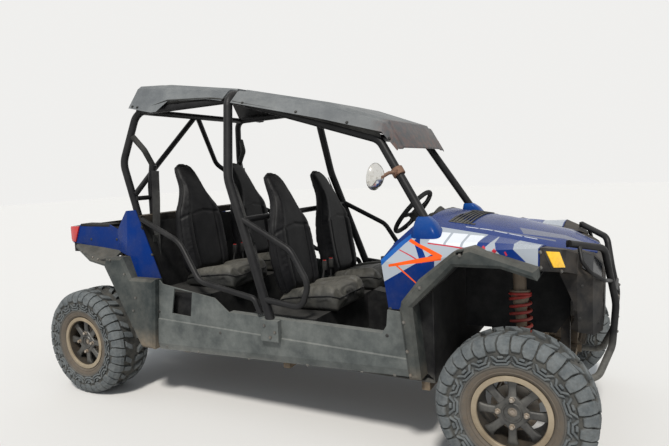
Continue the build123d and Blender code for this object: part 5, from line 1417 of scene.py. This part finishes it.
# %% Copy the seat to its four places
seat_boxes = [box_of(points) for points in islands("seat_cushions")]
seat_boxes.sort(key=lambda box: (-box[0].x, box[0].y))
pad_table = [
    (cushion_master, cushion_edge, "cushion", "seat_cushions"),
    (back_master, back_edge, "back", "seat_backs"),
]
for place, (low, high) in zip(("front_right", "front_left", "rear_right", "rear_left"), seat_boxes):
    origin = Vector((low.x + 0.050, (low.y + high.y) / 2, low.z - 0.0003))
    for master, edge, title, node in pad_table:
        pad = copy_at("seat_%s_%s" % (title, place), master, origin)
        cord = copy_at("seat_%s_piping_%s" % (title, place), edge, origin)
        for piece in (pad, cord):
            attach(piece, "root")
        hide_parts(node)
print("seats at", [[round(v, 3) for v in low] for low, _ in seat_boxes])
for master in (cushion_master, cushion_edge, back_master, back_edge):
    bpy.data.objects.remove(master)

# %% [markdown]
# ## Dashboard and the bosses at the front pillars
#
# The dashboard is one skin over profiles along its width: low and flat on the right, with a
# hump for the gauge behind the steering wheel, and lowest at its ends under the side panels.
# A blue moulded boss closes the side panel round the foot of each front pillar.

# %% Dashboard
dash_end = [
    (0.846, 0.975), (0.800, 0.982), (0.745, 0.966), (0.705, 0.944), (0.682, 0.920), (0.672, 0.908),
    (0.668, 0.900), (0.700, 0.888), (0.846, 0.874),
]
dash_low = [
    (0.846, 1.046), (0.800, 1.050), (0.742, 1.030), (0.695, 0.996), (0.665, 0.962), (0.654, 0.940),
    (0.664, 0.902), (0.700, 0.886), (0.846, 0.872),
]
dash_hump = [
    (0.846, 1.056), (0.800, 1.082), (0.735, 1.096), (0.685, 1.084), (0.650, 1.050), (0.642, 1.026),
    (0.662, 0.904), (0.700, 0.886), (0.846, 0.872),
]
# Place across the car and its profile, from right to left
dash_rows = [
    (-0.553, dash_end), (-0.500, dash_end), (-0.400, dash_low), (-0.200, dash_low), (-0.010, dash_low),
    (0.070, dash_hump), (0.380, dash_hump), (0.430, dash_low), (0.500, dash_end), (0.553, dash_end),
]
dash_points = [[(x, y, z) for x, z in profile] for y, profile in dash_rows]
dash = make_mesh("dash_moulding", *skin(dash_points), finishes["dash plastic"])
dash = sharpen(rounded(dash, 0.006, 2, 18.0), 40.0)

# %% Gauge, switches and vents
gauge_line = [
    (0.0004, 0.004), (0.046, 0.004), (0.047, 0.010), (0.053, 0.010), (0.056, 0.004),
    (0.056, -0.020), (0.0004, -0.020),
]
gauge = lathed("gauge", gauge_line, 48, finishes["soft black rubber"])
lay(gauge, Vector((0.664, 0.268, 1.062)), Vector((-0.80, 0.0, 0.60)).normalized())
bits = [dash, gauge]
# Middle across and up the face, half width, half height
switch_table = [
    (0.020, 0.970, 0.011, 0.017), (-0.010, 0.970, 0.011, 0.017), (-0.040, 0.970, 0.011, 0.017),
    (-0.130, 0.958, 0.050, 0.018), (-0.330, 0.958, 0.090, 0.022), (0.455, 0.955, 0.030, 0.016),
]
for across_y, up_z, wide, high in switch_table:
    low = Vector((0.6535, across_y - wide, up_z - high))
    size = Vector((0.020, 2 * wide, 2 * high))
    bits.append(block_mesh("dash_bit", low, low + size, finishes["soft black rubber"], 0.003))
dash = join("dash_whole", bits)
print("dashboard faces", len(dash.data.polygons))
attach(dash, "root")
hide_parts("dashboard")

# %% Bosses
# Height, then the sides of a ring round the pillar: rear, front, outer, inner
boss_rings = [
    (1.116, 0.798, 0.846, -0.458, -0.408), (1.111, 0.792, 0.856, -0.466, -0.402),
    (1.088, 0.786, 0.884, -0.492, -0.398), (1.056, 0.780, 0.908, -0.512, -0.396),
    (1.030, 0.776, 0.922, -0.522, -0.396), (1.016, 0.774, 0.926, -0.524, -0.398),
]
# The ring's corners: 1 is an ellipse, and less is squarer
squareness, ring_points = 0.45, 28
boss_points = []
for z, rear, front, outer_y, inner_y in boss_rings:
    ring = []
    middle_x, middle_y = (rear + front) / 2, (outer_y + inner_y) / 2
    for k in range(ring_points):
        angle = 2 * math.pi * k / ring_points
        c, d = math.cos(angle), math.sin(angle)
        ring.append((
            middle_x + (front - rear) / 2 * math.copysign(abs(c) ** squareness, c),
            middle_y + (inner_y - outer_y) / 2 * math.copysign(abs(d) ** squareness, d), z,
        ))
    boss_points.append(ring)


def boss_blue_with_painted_top_light(tree, colour, along_x, across, height):
    """A lighter blue all over, and lighter still towards the boss's top as a painted highlight."""
    # Painted highlight: the mix towards the lighter blue grows with height
    return colour_mix(tree, spread(tree, height, 1.030, 1.110, 0.15, 0.45), colour, edge_blue)


blue_boss = blue_plastic("blue boss", boss_blue_with_painted_top_light)
boss = sharpen(make_mesh("pillar_boss_right", *skin(boss_points), blue_boss), 50.0)
for made in (boss, mirror_copy("pillar_boss_left", boss)):
    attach(made, "root")
print("boss faces", len(boss.data.polygons))

# %% [markdown]
# ## Coil springs
#
# The CAD springs are closed sleeves, so the drawing stays light. Here each becomes a real coil
# of wire. The two ends of a sleeve give the axis, its widest point gives the coil, and the
# first and last turn lie flat, as on a ground spring.

# %% Ends of a long solid, and a helix of wire
def ends_of(points):
    """The two ends of the axis of a long round solid, the low one first."""
    middle = sum(points, Vector()) / len(points)
    way = Vector((0.1, 0.2, 1.0))
    for _ in range(40):
        way = sum(((p - middle) * way.dot(p - middle) for p in points), Vector()).normalized()
    reach = [way.dot(p - middle) for p in points]
    return sorted([middle + way * min(reach), middle + way * max(reach)], key=lambda p: p.z)


def coil(name, low, high, radius, wire_radius, turns, look):
    """A helix of round wire between two points, with a flat turn at each end."""
    way = high - low
    across = way.cross(Vector((0, 1, 0))).normalized()
    beside = way.normalized().cross(across)
    steps = 26
    path = []
    for k in range(int(turns * steps) + 1):
        turn = k / steps
        share = min(max((turn - 0.8) / (turns - 1.6), 0.0), 1.0)
        share = share + 0.012 * math.sin(2 * math.pi * share)
        angle = 2 * math.pi * turn
        place = low + way * (0.035 + 0.93 * share)
        path.append(place + radius * (math.cos(angle) * across + math.sin(angle) * beside))
    return bent_tube(name, path, wire_radius, 0.0, look)


# %% Springs and damper tubes
spring_wire, spring_swell, spring_turns = 0.0070, 0.006, 6.5
damper_reach, damper_radius = 0.130, 0.029
collar_radius, upper_radius = damper_radius + 0.012, damper_radius - 0.003
tube_line = [
    (0.0220, -0.100), (collar_radius, -0.012), (collar_radius, -0.004), (damper_radius, 0.004),
    (damper_radius, damper_reach - 0.030), (upper_radius, damper_reach - 0.026),
    (upper_radius, damper_reach - 0.004), (0.0180, damper_reach), (0.0180, -0.100),
]
sleeves = sorted(islands("springs"), key=lambda points: (points[0].x, points[0].y))
for index, points in enumerate(sleeves):
    low, high = ends_of(points)
    way = (high - low).normalized()
    outer = max(((p - low) - way * way.dot(p - low)).length for p in points)
    radius = outer + spring_swell - spring_wire
    made = coil(
        "spring_coil_%d" % index, low, high, radius, spring_wire, spring_turns, finishes["spring red"],
    )
    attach(made, "root")
    tube = lathed("damper_tube_%d" % index, tube_line, 40, finishes["damper brown"])
    lay(tube, high, way)
    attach(tube, "root")
    if index == 0:
        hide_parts("springs")
    print("spring", index, "length", round((high - low).length, 3), "radius", round(radius, 4))

# %% [markdown]
# ## Fasteners and reflectors
#
# Bolts and push rivets are listed near a panel, and then dropped onto the panel's
# real surface, which also says which way they face. Everything on the right has its copy on
# the left.

# %% Drop points onto a CAD node
def surface_of(node):
    """A search tree over a CAD node's faces."""
    return search_tree(nodes[node].data, nodes[node].matrix_world)


def both(spots):
    """Points on the right side, and the same on the left."""
    return list(spots) + [(x, -y, z) for x, y, z in spots]


def fasten(name, node, spots, fastener, look):
    """A fastener on a node's surface at each spot, on both sides."""
    surface = surface_of(node)
    landed = []
    for spot in both(spots):
        place, facing, _, _ = surface.find_nearest(Vector(spot))
        landed.append((place, facing))
    return sharpen(on_spots(name, fastener, landed, look))


# %% Bolts and rivets
# Name, node, fastener, finish, and spots on the right side
fastener_table = [
    ("flare_bolts", "front_flares", hex_bolt, "zinc bolt", [
        (1.062, -0.70, 0.979), (1.352, -0.66, 0.905), (0.800, -0.70, 0.655), (0.812, -0.70, 0.520),
        (0.880, -0.70, 0.820), (0.825, -0.70, 0.410),
    ]),
    ("pod_bolts", "lamp_pods", hex_bolt, "zinc bolt", [
        (1.381, -0.60, 0.985), (1.384, -0.60, 0.920), (1.452, -0.51, 0.892),
    ]),
    ("panel_rivets", "front_side_panels", push_rivet, "soft black rubber", [
        (0.716, -0.66, 0.640), (0.770, -0.66, 0.630),
    ]),
    ("sill_rivets", "sills", push_rivet, "soft black rubber", [
        (0.700, -0.68, 0.572), (0.560, -0.68, 0.330), (0.250, -0.68, 0.330), (-0.120, -0.68, 0.330),
        (-0.480, -0.68, 0.330), (-0.720, -0.68, 0.340), (-0.760, -0.68, 0.560), (0.730, -0.68, 0.345),
        (-0.300, -0.68, 0.480),
    ]),
    ("rear_flare_bolts", "rear_flares", hex_bolt, "zinc bolt", [
        (-1.290, -0.68, 0.905), (-1.440, -0.66, 0.915), (-1.100, -0.70, 0.865), (-0.985, -0.70, 0.780),
        (-0.930, -0.70, 0.560), (-0.905, -0.70, 0.640), (-1.235, -0.69, 0.880),
    ]),
    ("rear_panel_rivets", "rear_side_panels", push_rivet, "soft black rubber", [
        (-0.770, -0.62, 0.720), (-0.800, -0.62, 0.905), (-0.900, -0.62, 1.060), (-1.180, -0.60, 0.970),
        (-1.420, -0.60, 0.965), (-1.585, -0.60, 0.960),
    ]),
    ("fascia_rivets", "front_fascia", push_rivet, "soft black rubber", [
        (1.520, -0.360, 0.800), (1.520, -0.360, 0.640), (1.585, -0.240, 0.610), (1.585, -0.250, 0.800),
    ]),
    ("roof_bolts", "roof_front", hex_bolt, "soft black rubber", [
        (-0.169, -0.52, 1.762), (0.150, -0.49, 1.680), (0.430, -0.45, 1.600), (0.640, -0.40, 1.500),
        (0.640, -0.12, 1.500),
    ]),
    ("rear_roof_bolts", "roof_rear", hex_bolt, "soft black rubber", [
        (-0.930, -0.56, 1.790), (-0.970, -0.56, 1.800), (-0.640, -0.56, 1.780), (-0.400, -0.55, 1.790),
    ]),
    ("bumper_bolts", "front_bumper", hex_bolt, "zinc bolt", [
        (1.680, -0.120, 0.720), (1.680, -0.120, 0.545), (1.680, -0.060, 0.700), (1.680, -0.060, 0.560),
    ]),
    ("hoop_bolts", "sills", hex_bolt, "zinc bolt", [
        (0.020, -0.70, 0.560), (0.085, -0.70, 0.530), (0.055, -0.70, 0.500),
    ]),
    ("skid_bolts", "skid_plate", hex_bolt, "zinc bolt", [
        (1.300, -0.180, 0.200), (0.900, -0.200, 0.200), (0.300, -0.200, 0.200), (-0.300, -0.200, 0.200),
        (-0.900, -0.200, 0.200),
    ]),
    ("bed_bolts", "cargo_bed", hex_bolt, "zinc bolt", [
        (-1.590, -0.400, 1.000), (-1.590, -0.120, 1.000), (-1.300, -0.300, 0.905), (-1.100, -0.300, 0.905),
    ]),
]
for name, node, fastener, look, spots in fastener_table:
    made = fasten(name, node, spots, fastener, finishes[look])
    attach(made, "root")
print("fasteners", 2 * sum(len(spots) for _, _, _, _, spots in fastener_table))

# %% Amber reflectors on the lamp pods
def plate_on(name, surface, corners, thick, look, bevel=0.0015):
    """A thin plate with its corners dropped onto a surface."""
    landed = [surface.find_nearest(Vector(corner))[:2] for corner in corners]
    facing = sum((found[1] for found in landed), Vector()).normalized()
    low = [place - facing * 0.001 for place, _ in landed]
    high = [place + facing * thick for place, _ in landed]
    made = make_mesh(name, *skin([low, high]), look)
    return sharpen(rounded(made, bevel), 40.0)


pods = surface_of("lamp_pods")
# Corners on the outer face of the right pod, from the top rear round
reflector_corners = [(1.396, -0.57, 0.985), (1.442, -0.51, 0.975), (1.460, -0.49, 0.906), (1.418, -0.54, 0.912)]
frame_corners = [(1.388, -0.58, 0.994), (1.449, -0.50, 0.982), (1.470, -0.48, 0.898), (1.412, -0.55, 0.903)]
reflector = join("reflector_right", [
    plate_on("reflector_frame", pods, frame_corners, 0.002, finishes["soft black rubber"]),
    plate_on("reflector_lens", pods, reflector_corners, 0.006, amber_lens),
])
for made in (reflector, mirror_copy("reflector_left", reflector)):
    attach(made, "root")
print("reflector faces", len(reflector.data.polygons))

# %% [markdown]
# ## Thin trim
#
# The drawing leaves the thin trim plain. Here come the vents in the rear wings, a slotted
# shelf and a lamp's side at each corner of the bed, the grille on the cowl, the open ends of
# the bumper's tubes, ribs and panels on the bed, and the seals under the roof's edges. What
# both sides have is made on the right and mirrored.

# %% Vents in the rear wings
wing = surface_of("rear_flares")
# Name, and corners from the top front round
vent_table = [
    ("wing_vent_rear", [
        (-1.322, -0.68, 0.922), (-1.352, -0.68, 0.928), (-1.424, -0.66, 0.902), (-1.392, -0.66, 0.897),
    ]),
    ("wing_vent_front", [
        (-1.118, -0.70, 0.886), (-1.150, -0.70, 0.890), (-1.224, -0.68, 0.868), (-1.190, -0.68, 0.863),
    ]),
]
for name, corners in vent_table:
    vent = plate_on(name, wing, corners, 0.0012, finishes["soft black rubber"], 0.0005)
    for made in (vent, mirror_copy(name + "_left", vent)):
        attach(made, "root")
print("vents", 2 * len(vent_table))

# %% A shelf with slots along the top of each bed side
shelf = [block_mesh("shelf", Vector((-1.514, -0.5635, 1.050)), Vector((-1.236, -0.474, 1.067)),
                    finishes["tub plastic"], 0.004)]
# Each slot is a thin near-black plate on the shelf, painted shade standing in for the hole
slot_count, slot_pitch = 5, 0.050
for k in range(slot_count):
    x = -1.490 + slot_pitch * k
    shelf.append(block_mesh("shelf_slot", Vector((x, -0.550, 1.0660)), Vector((x + 0.032, -0.492, 1.0675)),
                            finishes["black hole"], 0.0004))
shelf = join("bed_shelf_right", shelf)
for made in (shelf, mirror_copy("bed_shelf_left", shelf)):
    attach(made, "root")
print("shelf faces", len(shelf.data.polygons))

# %% The tail lamp's side: a lens over the bed's corner, beside the lamp on the rear face
lamp_side = [(-1.524, 1.050), (-1.604, 1.050), (-1.604, 0.948), (-1.570, 0.944)]
lamp_rows = [[(x, y, z) for x, z in lamp_side] for y in (-0.5545, -0.5700)]
lamp = make_mesh("tail_lamp_corner", *skin(lamp_rows), red_lens)
lamp = sharpen(rounded(lamp, 0.003), 40.0)
for made in (lamp, mirror_copy("tail_lamp_corner_left", lamp)):
    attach(made, "root")
print("lamp side faces", len(lamp.data.polygons))


# %% The black grille at the hood's rear edge, with slats
def draped(name, node, corners, along, wide, thick, look):
    """A thin pad over a node's surface between four corners, following its curve."""
    surface = surface_of(node)
    rows = []
    for i in range(along + 1):
        top, low = [], []
        for k in range(wide + 1):
            s, t = i / along, k / wide
            a = Vector(corners[0]).lerp(Vector(corners[1]), s)
            b = Vector(corners[3]).lerp(Vector(corners[2]), s)
            place, facing, _, _ = surface.find_nearest(a.lerp(b, t))
            facing = facing if facing.z > 0 else -facing
            top.append(place + facing * thick)
            low.append(place - facing * 0.001)
        rows.append(top + low[::-1])
    return make_mesh(name, *skin(rows), look, smooth=False)


grille_corners = [(0.905, -0.300, 1.09), (1.030, -0.285, 1.06), (1.030, 0.285, 1.06), (0.905, 0.300, 1.09)]
grille = [draped("cowl_grille", "hood", grille_corners, 4, 24, 0.002, finishes["soft black rubber"])]
slat_count, slat_pitch, slat_width = 6, 0.018, 0.007
for k in range(slat_count):
    rear = 0.916 + slat_pitch * k
    front = rear + slat_width
    corners = [(rear, -0.285, 1.09), (front, -0.285, 1.09), (front, 0.285, 1.09), (rear, 0.285, 1.09)]
    grille.append(draped("cowl_slat", "hood", corners, 1, 24, 0.007, finishes["soft black rubber"]))
grille = join("cowl_grille_whole", grille)
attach(grille, "root")
print("grille faces", len(grille.data.polygons))

# %% The open ends of the bumper's top tubes
# A near-black disc in each tube's open end is painted shade for the hollow inside
bore_line = [(0.0004, 0.0010), (0.0150, 0.0010), (0.0160, 0.0), (0.0160, -0.006), (0.0004, -0.006)]
bumper = nodes["front_bumper"]
bumper_points = [bumper.matrix_world @ vertex.co for vertex in bumper.data.vertices]
for side, flip in (("right", -1), ("left", 1)):
    tip = [p for p in bumper_points if flip * p.y > 0.30 and p.z > 0.93]
    back = min(p.x for p in tip)
    tip = [p for p in tip if p.x < back + 0.006]
    bore = lathed("bumper_bore_" + side, bore_line, 32, finishes["black hole"])
    middle = sum(tip, Vector()) / len(tip)
    lay(bore, middle, Vector((-1, 0, 0)))
    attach(bore, "root")
    print("bore", side, "at", [round(v, 3) for v in middle])

# %% Ribs on the bed's floor, and pressed panels with a handle on the tailgate
bed_bits = []
rib_count, rib_pitch, rib_half = 9, 0.10, 0.012
for k in range(rib_count):
    y = -0.40 + rib_pitch * k
    bed_bits.append(block_mesh("bed_rib", Vector((-1.560, y - rib_half, 0.888)),
                               Vector((-1.080, y + rib_half, 0.896)), finishes["tub plastic"], 0.003))
for low_y, high_y in ((-0.460, -0.130), (0.130, 0.460)):
    bed_bits.append(block_mesh("gate_panel", Vector((-1.6045, low_y, 0.930)), Vector((-1.598, high_y, 1.030)),
                               finishes["tub plastic"], 0.003))
bed_bits.append(block_mesh("gate_handle", Vector((-1.612, -0.085, 0.985)), Vector((-1.598, 0.085, 1.018)),
                           finishes["soft black rubber"], 0.004))
bed_bits = join("bed_details", bed_bits)
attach(bed_bits, "root")
print("bed detail faces", len(bed_bits.data.polygons))

# %% Seals between the roof skins and the side tubes
# Place along the car, then the outer edge and the inner edge (y, z), as they are on the left
half_seal = 0.002
seal_table = {
    "rear": [
        (-0.880, (0.535, 1.768), (0.494, 1.780)), (-0.716, (0.512, 1.806), (0.486, 1.784)),
        (-0.436, (0.498, 1.793), (0.472, 1.789)), (-0.305, (0.511, 1.771), (0.466, 1.790)),
    ],
    "front": [
        (-0.240, (0.508, 1.756), (0.474, 1.770)), (0.274, (0.458, 1.634), (0.416, 1.610)),
        (0.590, (0.408, 1.546), (0.383, 1.512)),
    ],
}
for name, stations in seal_table.items():
    rows = []
    for x, (outer_y, outer_z), (inner_y, inner_z) in stations:
        rows.append([
            (x, -outer_y, outer_z + half_seal), (x, -inner_y, inner_z + half_seal),
            (x, -inner_y, inner_z - half_seal), (x, -outer_y, outer_z - half_seal),
        ])
    seal = make_mesh("roof_seal_" + name, *skin(rows), finishes["soft black rubber"], smooth=False)
    for made in (seal, mirror_copy("roof_seal_left_" + name, seal)):
        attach(made, "root")
print("seals", 2 * len(seal_table))

# %% [markdown]
# ## Mirror
#
# The mirror is a round pressed-steel head with a rolled rim on a rusty clamp. The head is
# turned in its own frame, then laid over the CAD disc.

# %% The mirror with its stalk and clamp
mirror_centre = Vector((0.6434, -0.6000, 1.3178))
mirror_way = Vector((-0.97, 0.18, 0.12)).normalized()
mirror_clamp = Vector((0.6804, -0.3960, 1.3338))
pillar_way = Vector((-0.295, 0.077, 0.462)).normalized()
head_line = [
    (0.0004, -0.0385), (0.0150, -0.0372), (0.0300, -0.0330), (0.0440, -0.0255), (0.0550, -0.0155),
    (0.0610, -0.0050), (0.0638, -0.0045), (0.0648, -0.0020), (0.0648, 0.0030), (0.0636, 0.0052),
    (0.0612, 0.0052), (0.0600, 0.0030), (0.0004, 0.0022),
]
mirror_head = lathed("mirror_head", head_line, 64, mirror_steel, 40.0)
lay(mirror_head, mirror_centre, mirror_way)
stalk_bend = mirror_clamp + Vector((-0.004, -0.110, -0.002))
stalk_end = mirror_centre - mirror_way * 0.036
stalk = bent_tube(
    "mirror_stalk", [mirror_clamp, stalk_bend, stalk_end], 0.0088, 0.03, finishes["rusty clamp"],
)
clamp_line = [
    (0.0224, -0.020), (0.0300, -0.020), (0.0320, -0.018), (0.0320, 0.018), (0.0300, 0.020),
    (0.0224, 0.020), (0.0224, -0.020),
]
clamp = lathed("mirror_clamp", clamp_line, 40, finishes["rusty clamp"])
lay(clamp, mirror_clamp, pillar_way)
lug_low = mirror_clamp + Vector((-0.010, -0.052, -0.014))
lug = block_mesh("mirror_lug", lug_low, lug_low + Vector((0.020, 0.026, 0.028)), finishes["rusty clamp"], 0.003)
mirror_piece = join("mirror_whole", [mirror_head, stalk, clamp, lug])
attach(mirror_piece, "root")
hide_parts("mirror")
print("mirror faces", len(mirror_piece.data.polygons))

# %% [markdown]
# ## Seat belts
#
# Parked belts hang straight from their guides to the foot of each seat. A strap is flat
# webbing, 48 mm wide and a little over 1 mm thick, made as a thin straight strip. The tongue
# lies on it, and a buckle on a short stalk stands beside each seat.

# %% Straps and tongues
belt_width, belt_thickness = 0.048, 0.0014


def strap(name, places, facing, look):
    """Flat webbing along a line of places; its wide side faces one way."""
    rows, length = [], 0.0
    for k, place in enumerate(places):
        before, after = Vector(places[max(k - 1, 0)]), Vector(places[min(k + 1, len(places) - 1)])
        run = (after - before).normalized()
        wide = run.cross(Vector(facing)).normalized() * belt_width / 2
        up = wide.cross(run).normalized() * belt_thickness / 2
        middle = Vector(place)
        rows.append([middle - wide - up, middle + wide - up, middle + wide + up, middle - wide + up])
        if k:
            length += (middle - Vector(places[k - 1])).length
    return make_mesh(name, *skin(rows), look, smooth=False), length


# Row of seats, then the belt's line from the guide down, on the right side
belt_table = {
    "front": [
        (-0.236, -0.556, 1.300), (-0.190, -0.560, 1.180), (-0.118, -0.566, 0.960),
        (-0.075, -0.570, 0.790), (-0.060, -0.572, 0.640),
    ],
    "rear": [
        (-0.915, -0.452, 1.395), (-0.900, -0.474, 1.220), (-0.890, -0.505, 0.980),
        (-0.880, -0.520, 0.780), (-0.872, -0.522, 0.700),
    ],
}
for row, line in belt_table.items():
    for side, flip in (("right", 1), ("left", -1)):
        places = [(x, flip * y, z) for x, y, z in line]
        facing = (0.85, -0.35 * flip, 0.2)
        belt, length = strap("belt_%s_%s" % (row, side), places, facing, finishes["webbing black"])
        tongue_at = Vector(places[2])
        tongue = block_mesh(
            "belt_tongue_%s_%s" % (row, side), tongue_at - Vector((0.004, 0.030, 0.022)),
            tongue_at + Vector((0.006, 0.030, 0.022)), finishes["soft black rubber"], 0.003,
        )
        for made in (belt, tongue):
            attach(made, "root")
        print("belt", row, side, "length", round(length, 3))

# %% Buckles on their stalks, on the inner side of each seat
for index, (low, high) in enumerate(seat_boxes):
    inner_y = low.y + 0.006 if low.y > 0 else high.y - 0.006
    foot = Vector((low.x + 0.070, inner_y, low.z + 0.020))
    head = foot + Vector((0.020, 0.020 if low.y < 0 else -0.020, 0.150))
    line = [foot, foot.lerp(head, 0.5), head]
    stalk = bent_tube("belt_stalk_%d" % index, line, 0.006, 0.0, finishes["webbing black"])
    buckle = block_mesh(
        "belt_buckle_%d" % index, head - Vector((0.014, 0.009, 0.030)), head + Vector((0.014, 0.009, 0.030)),
        finishes["soft black rubber"], 0.004,
    )
    button = block_mesh(
        "belt_button_%d" % index, head + Vector((-0.009, -0.006, 0.027)), head + Vector((0.009, 0.006, 0.0325)),
        red_lens, 0.001,
    )
    made = join("belt_buckle_whole_%d" % index, [stalk, buckle, button])
    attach(made, "root")
print("buckles", len(seat_boxes))

# %% Remove the templates, write the sizes and finish
for made in templates:
    bpy.data.objects.remove(made)
low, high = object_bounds()
print("visual box", [round(v, 3) for v in low], [round(v, 3) for v in high])
